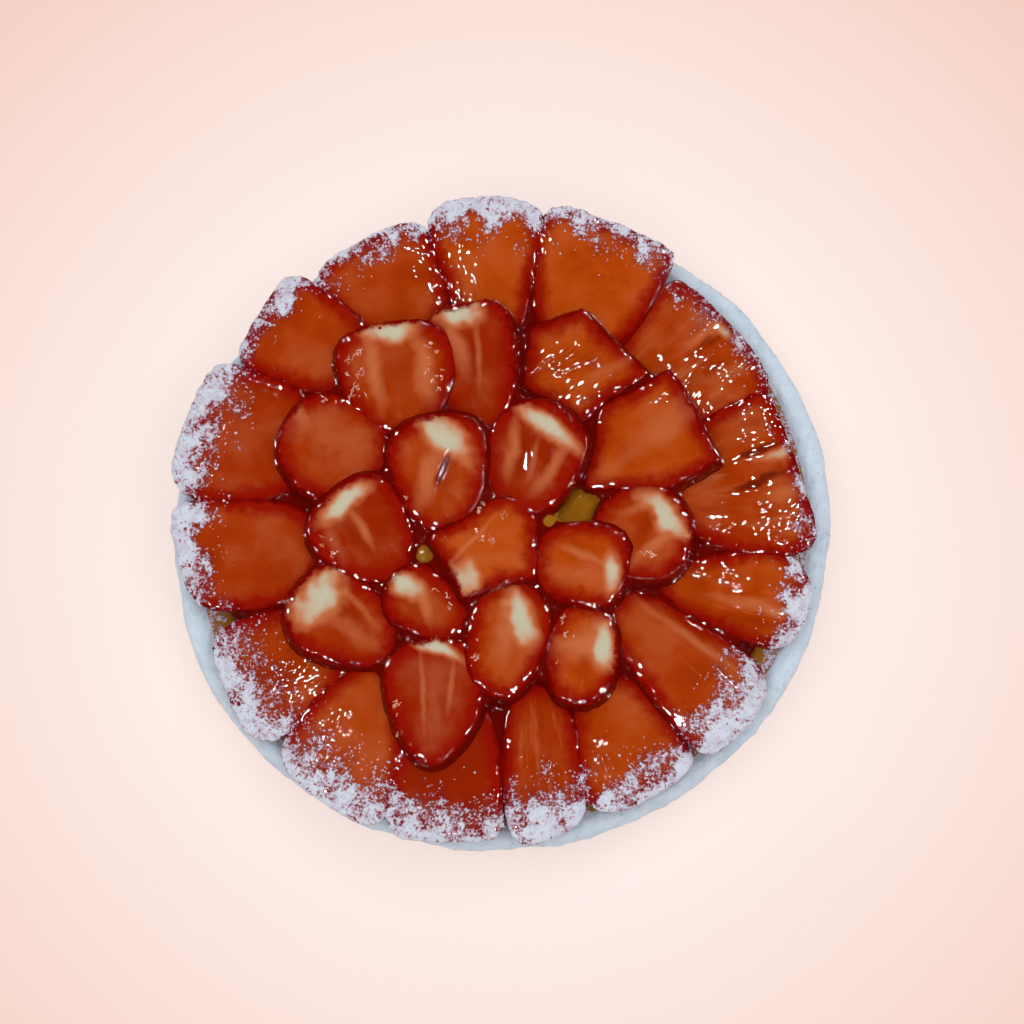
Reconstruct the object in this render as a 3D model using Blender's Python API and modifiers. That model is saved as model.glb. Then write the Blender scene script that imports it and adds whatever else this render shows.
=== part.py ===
"""Strawberry tart: a round pastry crust filled with custard, covered with sliced and halved strawberries.

Metres, +Z up. The origin is at the middle of the crust's flat underside, and the tart stands on z = 0.
Fifteen slices lie round the rim with their leafy ends outwards. Sixteen halves and pieces fill the
middle, each lying partly on the ones further out. A lower piece is hollowed where a higher one presses
into it, with a small gap between the two.
"""

import math
import random
from collections import namedtuple

import bmesh
import bpy
from mathutils import Euler, Matrix, Vector

MM = 0.001
# What touching pieces keep between them, and how far a pressing piece is swollen to make that room.
GAP = 0.3 * MM
PRESS_GROWTH = 1.3 * GAP
MERGE_DISTANCE = GAP / 10

# The crust: a shallow dish with a rounded lip.
CRUST_RADIUS = 100 * MM
FOOT_RADIUS = 95 * MM
CRUST_HEIGHT = 22 * MM
FLOOR_THICKNESS = 4 * MM
LIP_WIDTH = 9 * MM
LIP_RISE = 4 * MM
FOOT_ROUND = 1.5 * MM
FOOT_WALL = 7 * MM
INNER_FOOT_RADIUS = FOOT_RADIUS - FOOT_WALL
LIP_STEPS = 6
TURN_STEPS = 56

# Seen from above the crust is slightly oval: its length and width as shares of a circle's, and the
# bearing of its length in degrees. The fruit lies a little off its middle.
OVAL_LONG = 1.018
OVAL_SHORT = 0.982
OVAL_BEARING = 20
FRUIT_SHIFT = Vector((-0.6, -1.3, 0)) * MM

# The custard fills the crust to just under its lip and rises a little to the middle.
CUSTARD_BELOW_LIP = 2.5 * MM
CUSTARD_EDGE_RADIUS = CRUST_RADIUS - LIP_WIDTH - GAP
CUSTARD_EDGE_HEIGHT = CRUST_HEIGHT - CUSTARD_BELOW_LIP
CUSTARD_MIDDLE_HEIGHT = 28 * MM
CUSTARD_STEPS = 5

# A strawberry piece is a flattened ball: segments round its outline, rings from cut face to belly.
OUTLINE_SEGMENTS = 18
BODY_RINGS = 6
# Each edge is tried against the tart at the ends of this many equal parts, to find where it rests.
EDGE_PARTS = 6
# No strawberry's outline is even: waves of 2 to 5 humps round it, each up to this share of the width.
WAVE = 0.016
WAVE_HUMPS = (2, 3, 4, 5)
TILT_ORDER = "YXZ"

# How deep each cut goes: thickness above and below the widest line, and how square each side is.
Cut = namedtuple("Cut", "crown belly crown_square belly_square")
CUTS = {
    "slice": Cut(crown=2.6 * MM, belly=7.5 * MM, crown_square=4.0, belly_square=3.2),
    "half": Cut(crown=2.2 * MM, belly=12.0 * MM, crown_square=4.5, belly_square=2.3),
    "wedge": Cut(crown=3.4 * MM, belly=8.5 * MM, crown_square=2.6, belly_square=2.6),
}

# One strawberry piece. bearing and reach place its middle on the tart (degrees from +X, mm from the
# centre); turn is how far its tip points away from the centre (degrees, anticlockwise). length and
# width are in mm, widest is where along the length it is widest (0 leafy end, 1 tip), shoulder and
# point are how square those two ends are (2 is round), taper narrows it towards the tip, slant cuts
# the leafy end askew, pitch raises the tip and roll its left side (degrees), lift is in mm. A wedge
# falls away by fall mm beyond a ridge at crease, a share of its half width (below 0 on the left).
Berry = namedtuple(
    "Berry",
    "name cut bearing reach turn length width widest shoulder point taper slant pitch roll lift"
    " crease fall",
    defaults=(1.0, 0.0),
)

RIM_SLICES = (
    Berry("rim_slice_01", "slice", 92.5, 80, 3, 47, 32, 0.32, 3.0, 2.4, 0.22, -0.05, 7, 0, 0.0),
    Berry("rim_slice_02", "slice", 69, 78.5, 7, 47, 40, 0.34, 3.4, 2.4, 0.16, -0.14, 7, 3, 0.4),
    Berry("rim_slice_03", "slice", 42, 74, -4, 42, 43, 0.40, 3.6, 2.8, 0.16, 0.04, 6, -2, 0.0),
    Berry("rim_slice_04", "slice", 11, 72, 0, 42, 46, 0.40, 3.8, 2.8, 0.22, 0.08, 6, 2, 0.4),
    Berry("rim_slice_05", "wedge", -16, 72.5, 8, 47, 29, 0.30, 2.8, 1.6, 0.05, 0.00, 6, 0, 0.0, -0.3, 4),
    Berry("rim_slice_06", "wedge", -37, 68, -6, 56, 30, 0.32, 2.8, 2.4, 0.20, 0.10, 5, 2, 0.6, 0.35, 5),
    Berry("rim_slice_07", "slice", -60, 73, -8, 40, 32, 0.36, 3.2, 2.4, 0.18, 0.10, 6, 0, 0.0),
    Berry("rim_slice_08", "slice", -80, 72, -5, 47, 24, 0.40, 3.0, 2.8, 0.06, 0.35, 6, 0, 0.3),
    Berry("rim_slice_09", "slice", -102, 73, 5, 46, 33, 0.34, 3.4, 2.6, 0.20, 0.06, 6, 0, 0.0),
    Berry("rim_slice_10", "slice", -125, 76, 12, 46, 34, 0.36, 3.0, 2.2, 0.20, -0.20, 7, 0, 0.3),
    Berry("rim_slice_11", "slice", -147, 77, -8, 40, 36, 0.38, 3.2, 2.6, 0.12, 0.00, 7, 0, 0.0),
    Berry("rim_slice_12", "slice", -174, 76, -6, 46, 34, 0.38, 3.2, 2.8, 0.06, 0.30, 7, 0, 0.4),
    Berry("rim_slice_13", "slice", 160, 80, 9, 44, 42, 0.38, 3.2, 2.4, 0.10, -0.12, 7, 0, 0.0),
    Berry("rim_slice_14", "slice", 135.5, 81.5, 14, 38, 33, 0.38, 3.2, 2.8, 0.10, 0.00, 7, 0, 0.4),
    Berry("rim_slice_15", "slice", 114.5, 80, 6, 40, 35, 0.36, 3.2, 2.6, 0.16, 0.00, 7, 0, 0.0),
)

MIDDLE_PIECES = (
    Berry("middle_half_01", "half", 125, 54, -28, 35, 36, 0.40, 2.8, 2.0, 0.05, 0.00, -8, 0, 1.5),
    Berry("middle_half_02", "half", 99, 47, 0, 43, 27, 0.36, 2.8, 2.0, 0.05, 0.00, -8, 17, 1.5),
    Berry("middle_slice_03", "slice", 65, 51.5, -32, 34, 34, 0.45, 3.0, 2.6, 0.05, 0.00, -10, 0, 3.0),
    Berry("middle_slice_04", "slice", 29, 50, -12, 38, 33, 0.40, 3.4, 2.4, 0.12, 0.00, -10, 0, 3.0),
    Berry("middle_half_05", "half", 155, 55, 11, 34, 32, 0.45, 2.4, 2.2, 0.00, 0.00, -6, 0, 1.0),
    Berry("middle_half_06", "half", 141, 23.5, -46, 36, 30, 0.40, 2.6, 1.9, 0.05, 0.00, -9, 0, 1.5),
    Berry("middle_half_07", "half", 63, 22, 8, 35, 30, 0.40, 2.4, 2.2, 0.00, 0.00, -9, 8, 1.0),
    Berry("middle_half_08", "half", -176, 40.5, -53, 33, 30, 0.42, 2.6, 2.0, 0.05, 0.00, -6, 0, 1.5),
    Berry("middle_half_09", "half", -116, 8, 7, 34, 30, 0.44, 2.8, 2.0, 0.00, 0.00, -6, 0, 1.5),
    Berry("middle_half_10", "half", -27, 27, 17, 29, 26, 0.42, 2.6, 2.4, 0.05, 0.00, -5, 0, 2.2),
    Berry("middle_half_11", "half", -4, 42.5, 7, 30, 30, 0.45, 2.4, 2.2, 0.00, 0.00, -8, 6, 1.0),
    Berry("middle_half_12", "half", -148, 55, -61, 35, 27, 0.40, 2.6, 2.2, 0.05, 0.00, -6, 0, 1.5),
    Berry("middle_half_13", "half", -132, 33, -82, 27, 20, 0.42, 2.4, 2.2, 0.05, 0.00, -4, 0, 0.5),
    Berry("middle_half_14", "half", -87, 35, 162, 35, 25, 0.42, 2.4, 2.2, 0.00, 0.00, 0, -8, 1.0),
    Berry("middle_half_15", "half", -58, 46, 143, 31, 21.5, 0.50, 2.4, 2.4, 0.00, 0.00, 0, 4, 1.5),
    Berry("middle_half_16", "half", -110, 57, -160, 38, 30, 0.30, 2.8, 1.8, 0.00, 0.00, -4, 0, 2.5),
)


def clear_scene():
    for obj in list(bpy.data.objects):
        bpy.data.objects.remove(obj, do_unlink=True)


def new_collection(name):
    collection = bpy.data.collections.new(name)
    bpy.context.scene.collection.children.link(collection)
    return collection


def make_material(name, colour, roughness):
    """A non-metal finish of one colour."""
    material = bpy.data.materials.new(name)
    material.use_nodes = True
    shader = material.node_tree.nodes["Principled BSDF"]
    shader.inputs["Base Color"].default_value = (*colour, 1)
    shader.inputs["Roughness"].default_value = roughness
    shader.inputs["Metallic"].default_value = 0
    return material


def custard_height(radius):
    """The custard's surface: a low dome."""
    rise = CUSTARD_MIDDLE_HEIGHT - CUSTARD_EDGE_HEIGHT
    return CUSTARD_EDGE_HEIGHT + rise * (1 - (radius / CUSTARD_EDGE_RADIUS) ** 2)


def lip_height(radius):
    """The crust's rounded lip: half an ellipse over the wall."""
    middle = CRUST_RADIUS - LIP_WIDTH / 2
    across = min(1.0, abs(radius - middle) / (LIP_WIDTH / 2))
    return CRUST_HEIGHT - LIP_RISE + LIP_RISE * math.sqrt(1 - across**2)


def oval_radius(point):
    """A point's distance from the middle, as the crust's oval measures it."""
    turn = math.radians(OVAL_BEARING)
    along = (point.x * math.cos(turn) + point.y * math.sin(turn)) / OVAL_LONG
    across = (point.y * math.cos(turn) - point.x * math.sin(turn)) / OVAL_SHORT
    return math.hypot(along, across)


def base_height(point):
    """What a berry can rest on under this point: custard, lip, or nothing."""
    radius = oval_radius(point)
    if radius < CUSTARD_EDGE_RADIUS:
        return custard_height(radius)
    if radius < CRUST_RADIUS:
        return lip_height(radius)
    return 0.0


def crust_profile():
    """From the inner floor up over the lip and down the outer side to the underside."""
    lip_centre = CRUST_RADIUS - LIP_WIDTH / 2
    lip_base = CRUST_HEIGHT - LIP_RISE
    points = [(0, FLOOR_THICKNESS), (INNER_FOOT_RADIUS, FLOOR_THICKNESS)]
    for step in range(LIP_STEPS + 1):
        angle = math.pi * (1 - step / LIP_STEPS)
        points.append(
            (
                lip_centre + LIP_WIDTH / 2 * math.cos(angle),
                lip_base + LIP_RISE * math.sin(angle),
            )
        )
    points += [(FOOT_RADIUS, FOOT_ROUND), (FOOT_RADIUS - FOOT_ROUND, 0), (0, 0)]
    return points


def custard_profile():
    """From the middle of the dome out to the lip and down inside the crust's wall."""
    points = []
    for step in range(CUSTARD_STEPS + 1):
        radius = CUSTARD_EDGE_RADIUS * step / CUSTARD_STEPS
        points.append((radius, custard_height(radius)))
    floor = FLOOR_THICKNESS + GAP
    points += [(CUSTARD_EDGE_RADIUS, CRUST_HEIGHT - LIP_RISE), (INNER_FOOT_RADIUS - GAP, floor), (0, floor)]
    return points


def turned(name, profile, material, collection):
    """A solid turned round Z, then drawn out to the crust's oval."""
    mesh = bpy.data.meshes.new(name)
    points = [(x, 0, z) for x, z in profile]
    mesh.from_pydata(points, [(i, i + 1) for i in range(len(points) - 1)], [])
    mesh.materials.append(material)
    obj = bpy.data.objects.new(name, mesh)
    collection.objects.link(obj)
    screw = obj.modifiers.new("Turn", "SCREW")
    screw.steps = screw.render_steps = TURN_STEPS
    screw.use_merge_vertices = True
    screw.merge_threshold = MERGE_DISTANCE
    screw.use_smooth_shade = True
    obj.rotation_euler.z = math.radians(OVAL_BEARING)
    obj.scale = (OVAL_LONG, OVAL_SHORT, 1)
    return obj


def signed_power(value, power):
    return math.copysign(abs(value) ** power, value)


def unevenness(berry, across, along):
    """How much further out than even the outline lies in this direction."""
    angle = math.atan2(across, along)
    chance = random.Random(berry.name)
    total = 1.0
    for humps in WAVE_HUMPS:
        total += WAVE * chance.uniform(0.3, 1.0) * math.cos(humps * angle + chance.uniform(0, math.tau))
    return total


def berry_point(berry, direction):
    """Where the point of a unit ball in this direction lies on the piece, before it is tilted."""
    cut = CUTS[berry.cut]
    flat = math.hypot(direction.x, direction.y)
    square = cut.crown_square if direction.z > 0 else cut.belly_square
    depth = cut.crown if direction.z > 0 else cut.belly
    z = depth * signed_power(direction.z, 2 / square)

    across, along = (direction.x / flat, direction.y / flat) if flat > 0 else (0, 0)
    spread = flat ** (2 / square) * unevenness(berry, across, along)
    towards_tip = along > 0
    square = berry.point if towards_tip else berry.shoulder
    part = 1 - berry.widest if towards_tip else berry.widest
    x = berry.width / 2 * MM * signed_power(across, 2 / square)
    y = berry.length * part * MM * signed_power(along, 2 / square)
    y += (berry.widest - 0.5) * berry.length * MM
    x *= 1 - berry.taper * 2 * y / (berry.length * MM)
    y += berry.slant * x * max(0.0, -along)
    return Vector((x * spread, y * spread, z - fallen(berry, x * spread)))


def fallen(berry, x):
    """How far a wedge has dropped at x, beyond its ridge."""
    if berry.fall == 0:
        return 0.0
    side = math.copysign(1, berry.crease)
    share = side * x / (berry.width / 2 * MM)
    ridge = abs(berry.crease)
    return berry.fall * MM * max(0.0, share - ridge) / (1 - ridge)


def tilted(points, berry):
    """Turns the piece's tip towards the tart's centre, tilts it and moves it to its place in plan."""
    heading = berry.bearing + 180 + berry.turn - 90
    tilt = Euler((math.radians(berry.pitch), math.radians(berry.roll), 0), TILT_ORDER)
    turn = Matrix.Rotation(math.radians(heading), 3, "Z") @ tilt.to_matrix()
    bearing = math.radians(berry.bearing)
    place = Vector((math.cos(bearing), math.sin(bearing), 0)) * berry.reach * MM
    return [turn @ point + place + FRUIT_SHIFT for point in points]


def contact_points(shape):
    """Points all over a mesh: its corners, points along its edges and its faces' middles."""
    points = [vert.co.copy() for vert in shape.verts]
    points += [face.calc_center_median() for face in shape.faces]
    for edge in shape.edges:
        start, end = (vert.co for vert in edge.verts)
        points += [start.lerp(end, step / EDGE_PARTS) for step in range(1, EDGE_PARTS)]
    return points


def move_verts(shape, points):
    for vert, point in zip(shape.verts, points):
        vert.co = point


def berry_mesh(berry, grown):
    """The piece's closed surface, resting on the tart, swollen outwards by grown."""
    shape = bmesh.new()
    bmesh.ops.create_uvsphere(
        shape, u_segments=OUTLINE_SEGMENTS, v_segments=BODY_RINGS, radius=1
    )
    move_verts(shape, tilted([berry_point(berry, vert.co) for vert in shape.verts], berry))
    bmesh.ops.triangulate(shape, faces=shape.faces[:])
    rest = max(base_height(point) - point.z for point in contact_points(shape))
    bmesh.ops.translate(shape, verts=shape.verts, vec=(0, 0, rest + GAP + berry.lift * MM))
    shape.normal_update()
    move_verts(shape, [vert.co + vert.normal * grown for vert in shape.verts])
    mesh = bpy.data.meshes.new(berry.name)
    shape.to_mesh(mesh)
    shape.free()
    mesh.shade_smooth()
    return mesh


def add_berry(berry, material, collection):
    mesh = berry_mesh(berry, 0)
    mesh.materials.append(material)
    obj = bpy.data.objects.new(berry.name, mesh)
    collection.objects.link(obj)
    return obj


def add_presser(berry, collection):
    """A hidden copy, larger by the gap, that hollows the pieces below."""
    obj = bpy.data.objects.new(berry.name + "_presser", berry_mesh(berry, PRESS_GROWTH))
    obj.hide_render = True
    obj.display_type = "WIRE"
    collection.objects.link(obj)
    return obj


def spans_meet(first, second):
    """Whether two objects' boxes meet."""
    for axis in range(3):
        a = [vert.co[axis] for vert in first.data.vertices]
        b = [vert.co[axis] for vert in second.data.vertices]
        if max(a) < min(b) or max(b) < min(a):
            return False
    return True


def middle_height(obj):
    heights = [vert.co.z for vert in obj.data.vertices]
    return (max(heights) + min(heights)) / 2


def press_apart(pieces, pressers):
    """Cuts every piece by the pieces that lie higher."""
    order = sorted(pieces, key=lambda name: middle_height(pieces[name]))
    for place, lower in enumerate(order):
        for upper in order[place + 1 :]:
            if not spans_meet(pieces[lower], pressers[upper]):
                continue
            cut = pieces[lower].modifiers.new(upper, "BOOLEAN")
            cut.operation = "DIFFERENCE"
            cut.solver = "EXACT"
            cut.object = pressers[upper]


def main():
    clear_scene()
    tart = new_collection("strawberry_tart")
    cutters = new_collection("cutters")
    pastry = make_material("pastry", (0.72, 0.62, 0.46), 0.8)
    custard = make_material("custard", (0.62, 0.48, 0.12), 0.45)
    strawberry = make_material("strawberry", (0.50, 0.06, 0.02), 0.2)

    turned("crust", crust_profile(), pastry, tart)
    turned("custard", custard_profile(), custard, tart)
    pieces = {}
    pressers = {}
    for berry in RIM_SLICES + MIDDLE_PIECES:
        pieces[berry.name] = add_berry(berry, strawberry, tart)
        pressers[berry.name] = add_presser(berry, cutters)
    press_apart(pieces, pressers)


main()
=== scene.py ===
"""Strawberry tart, dressed: glazed fruit, custard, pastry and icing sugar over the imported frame.

Lengths are metres where a name doesn't say otherwise; the rows of the fruit table are in millimetres
and degrees, as a baker would measure them. Every surface is worked out with numpy on a grid of two
parameters and keeps to the place that the frame gives its solid.
"""

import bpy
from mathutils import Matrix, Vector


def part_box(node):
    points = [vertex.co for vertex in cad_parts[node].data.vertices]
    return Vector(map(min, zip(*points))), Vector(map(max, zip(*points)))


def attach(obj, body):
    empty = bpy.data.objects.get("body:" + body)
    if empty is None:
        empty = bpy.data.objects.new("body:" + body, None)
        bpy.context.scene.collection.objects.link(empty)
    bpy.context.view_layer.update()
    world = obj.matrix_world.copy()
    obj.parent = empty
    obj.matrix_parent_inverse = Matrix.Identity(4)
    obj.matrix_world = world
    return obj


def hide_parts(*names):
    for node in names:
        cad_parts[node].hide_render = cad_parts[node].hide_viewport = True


bl_info = {
    "name": "Strawberry Tart",
    "version": (1, 0, 0),
    "blender": (4, 5, 0),
    "location": "View3D > Sidebar > Tart",
    "description": "Dresses a strawberry tart: glazed fruit, custard, crust and icing sugar",
    "category": "Add Mesh",
}

import math
import random
from collections import namedtuple

import bpy
import numpy as np
from bpy.props import FloatProperty, FloatVectorProperty, PointerProperty
from mathutils import Euler, Matrix, Vector

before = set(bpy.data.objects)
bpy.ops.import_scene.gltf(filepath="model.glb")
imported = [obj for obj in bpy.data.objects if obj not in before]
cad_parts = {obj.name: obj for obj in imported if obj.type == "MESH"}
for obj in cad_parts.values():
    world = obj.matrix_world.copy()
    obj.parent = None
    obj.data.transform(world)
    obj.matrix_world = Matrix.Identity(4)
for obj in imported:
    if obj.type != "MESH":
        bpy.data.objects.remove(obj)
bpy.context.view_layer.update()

MM = 0.001
TAU = math.tau
BODY = "root"

# The crust and custard keep the construction's profile.
CRUST_LOW, CRUST_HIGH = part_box("crust")
CUSTARD_LOW, CUSTARD_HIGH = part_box("custard")
LIP_WIDTH = 9 * MM
LIP_RISE = 4 * MM
FLOOR_THICKNESS = 4 * MM
FOOT_DRAW = 5 * MM
FOOT_ROUND = 1.5 * MM
FOOT_WALL = 7 * MM
CRUST_RADIUS = 100 * MM
CUSTARD_RADIUS = CRUST_RADIUS - LIP_WIDTH - 0.3 * MM
# Seen from above the crust is an oval: its length and width as shares of a circle's, and the bearing of
# its length. The fruit lies a little off its middle.
OVAL_LONG, OVAL_SHORT = 1.018, 0.982
OVAL_BEARING = math.radians(20)
FRUIT_SHIFT = np.array([-0.6, -1.3, 0]) * MM
CUSTARD_BELOW_LIP = 2.5 * MM

# A piece of fruit: columns round its outline, rows from the middle of the cut face to under the belly.
FRUIT_COLUMNS = 180
FRUIT_ROWS = 80
WAVE = 0.016
WAVE_HUMPS = (2, 3, 4, 5)
BUMP_HUMPS = (11, 17, 23)
BUMP_SHARE = 0.22
TILT_ORDER = "YXZ"
SEED_SPACING = 3.6
SEED_DIMPLE = 1.3
DIMPLE_DEPTH = 0.30

# The stage: how much of the floor's colour it gives off, and where the small lamps stand (bearing and
# degrees from overhead).
FLOOR_GLOW = 0.56
SPARKS = ((-40, 33), (-112, 31), (20, 46), (70, 46), (165, 45))
SPARK_SIZE = 0.10

# The height map under the glaze: cells of this size, so many each way from the middle.
CELL = 0.5 * MM
MAP_HALF = 210

# crown is how far the cut face stands above the widest line and belly how far the skin hangs below it,
# in mm; the squares say how boxy each is (2 is round).
Cut = namedtuple("Cut", "crown belly crown_square belly_square")
CUTS = {
    "slice": Cut(crown=2.6, belly=7.5, crown_square=6.0, belly_square=3.2),
    "half": Cut(crown=2.2, belly=12.0, crown_square=4.4, belly_square=2.3),
    "wedge": Cut(crown=3.4, belly=8.5, crown_square=2.8, belly_square=2.6),
}

# One piece of fruit. bearing and reach place its middle on the tart (degrees from +X, mm from the
# centre); turn is how far its tip points away from the centre (degrees, anticlockwise). length and
# width are in mm, widest is where along the length it is widest (0 leafy end, 1 tip), shoulder and
# point are how square those two ends are (2 is round), taper narrows it towards the tip, slant cuts
# the leafy end askew, pitch raises the tip and roll its left side (degrees). A wedge falls away by
# fall mm beyond a ridge at crease, a share of its half width (below 0 on the left).
Berry = namedtuple(
    "Berry",
    "name cut bearing reach turn length width widest shoulder point taper slant pitch roll"
    " crease fall",
    defaults=(1.0, 0.0),
)

FRUIT = (
    Berry("rim_slice_01", "slice", 92.5, 80, 3, 47, 32, 0.32, 3.0, 2.4, 0.22, -0.05, 7, 0),
    Berry("rim_slice_02", "slice", 69, 78.5, 7, 47, 40, 0.34, 3.4, 2.4, 0.16, -0.14, 7, 3),
    Berry("rim_slice_03", "slice", 42, 74, -4, 42, 43, 0.40, 3.6, 2.8, 0.16, 0.04, 6, -2),
    Berry("rim_slice_04", "slice", 11, 72, 0, 42, 46, 0.40, 3.8, 2.8, 0.22, 0.08, 6, 2),
    Berry("rim_slice_05", "wedge", -16, 72.5, 8, 47, 29, 0.30, 2.8, 1.6, 0.05, 0.00, 6, 0, -0.3, 4),
    Berry("rim_slice_06", "wedge", -37, 68, -6, 56, 30, 0.32, 2.8, 2.4, 0.20, 0.10, 5, 2, 0.35, 5),
    Berry("rim_slice_07", "slice", -60, 73, -8, 40, 32, 0.36, 3.2, 2.4, 0.18, 0.10, 6, 0),
    Berry("rim_slice_08", "slice", -80, 72, -5, 47, 24, 0.40, 3.0, 2.8, 0.06, 0.35, 6, 0),
    Berry("rim_slice_09", "slice", -102, 73, 5, 46, 33, 0.34, 3.4, 2.6, 0.20, 0.06, 6, 0),
    Berry("rim_slice_10", "slice", -125, 76, 12, 46, 34, 0.36, 3.0, 2.2, 0.20, -0.20, 7, 0),
    Berry("rim_slice_11", "slice", -147, 77, -8, 40, 36, 0.38, 3.2, 2.6, 0.12, 0.00, 7, 0),
    Berry("rim_slice_12", "slice", -174, 76, -6, 46, 34, 0.38, 3.2, 2.8, 0.06, 0.30, 7, 0),
    Berry("rim_slice_13", "slice", 160, 80, 9, 44, 42, 0.38, 3.2, 2.4, 0.10, -0.12, 7, 0),
    Berry("rim_slice_14", "slice", 135.5, 81.5, 14, 38, 33, 0.38, 3.2, 2.8, 0.10, 0.00, 7, 0),
    Berry("rim_slice_15", "slice", 114.5, 80, 6, 40, 35, 0.36, 3.2, 2.6, 0.16, 0.00, 7, 0),
    Berry("middle_half_01", "half", 125, 54, -28, 35, 36, 0.40, 2.8, 2.0, 0.05, 0.00, -8, 0),
    Berry("middle_half_02", "half", 99, 47, 0, 43, 27, 0.36, 2.8, 2.0, 0.05, 0.00, -8, 17),
    Berry("middle_slice_03", "slice", 65, 51.5, -32, 34, 34, 0.45, 3.0, 2.6, 0.05, 0.00, -10, 0),
    Berry("middle_slice_04", "slice", 29, 50, -12, 38, 33, 0.40, 3.4, 2.4, 0.12, 0.00, -10, 0),
    Berry("middle_half_05", "half", 155, 55, 11, 34, 32, 0.45, 2.4, 2.2, 0.00, 0.00, -6, 0),
    Berry("middle_half_06", "half", 141, 23.5, -46, 36, 30, 0.40, 2.6, 1.9, 0.05, 0.00, -9, 0),
    Berry("middle_half_07", "half", 63, 22, 8, 35, 30, 0.40, 2.4, 2.2, 0.00, 0.00, -9, 8),
    Berry("middle_half_08", "half", -176, 40.5, -53, 33, 30, 0.42, 2.6, 2.0, 0.05, 0.00, -6, 0),
    Berry("middle_half_09", "half", -116, 8, 7, 34, 30, 0.44, 2.8, 2.0, 0.00, 0.00, -6, 0),
    Berry("middle_half_10", "half", -27, 27, 17, 29, 26, 0.42, 2.6, 2.4, 0.05, 0.00, -5, 0),
    Berry("middle_half_11", "half", -4, 42.5, 7, 30, 30, 0.45, 2.4, 2.2, 0.00, 0.00, -8, 6),
    Berry("middle_half_12", "half", -148, 55, -61, 35, 27, 0.40, 2.6, 2.2, 0.05, 0.00, -6, 0),
    Berry("middle_half_13", "half", -132, 33, -82, 27, 20, 0.42, 2.4, 2.2, 0.05, 0.00, -4, 0),
    Berry("middle_half_14", "half", -87, 35, 162, 35, 25, 0.42, 2.4, 2.2, 0.00, 0.00, 0, -8),
    Berry("middle_half_15", "half", -58, 46, 143, 31, 21.5, 0.50, 2.4, 2.4, 0.00, 0.00, 0, 4),
    Berry("middle_half_16", "half", -110, 57, -160, 38, 30, 0.30, 2.8, 1.8, 0.00, 0.00, -4, 0),
)

# Two pieces are cut to flat sides, each given by the way it faces (degrees from across, anticlockwise)
# and its distance from the piece's middle in mm.
SIDES = {
    "middle_slice_03": ((-79, 16), (-178, 14.5), (116, 12), (47, 15), (-15, 17)),
    "middle_slice_04": ((11, 17), (-78, 18), (-168, 16), (160, 14.5), (62, 16)),
    "middle_half_09": ((19, 14.6), (-55, 13.4), (-133, 14.4), (142, 11.8), (109, 16), (64, 17.5)),
}
SIDE_SQUARE = 22

# A mark on the cut face: its kind, where its middle is (across -1 left to 1 right, along 0 leafy end to
# 1 tip), its half width and half length as shares of the half width and the length, its turn in degrees
# and its strength. The kinds are a white heart, a blush of paler flesh, a deep channel, a hollow that is
# sunk and darkened with painted shade, rippled glaze and streaky fibres.
Mark = namedtuple("Mark", "kind across along wide long turn strength", defaults=(0, 1.0))
PALE, BLUSH, DEEP, HOLLOW, RIPPLE, STREAK = "pale", "blush", "deep", "hollow", "ripple", "streak"
MARK_SPAN = {
    PALE: (0.1, 1.8),
    BLUSH: (0.1, 1.8),
    DEEP: (0.1, 1.8),
    HOLLOW: (0.4, 1.5),
    RIPPLE: (0.4, 1.2),
    STREAK: (0.4, 1.2),
}

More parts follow.
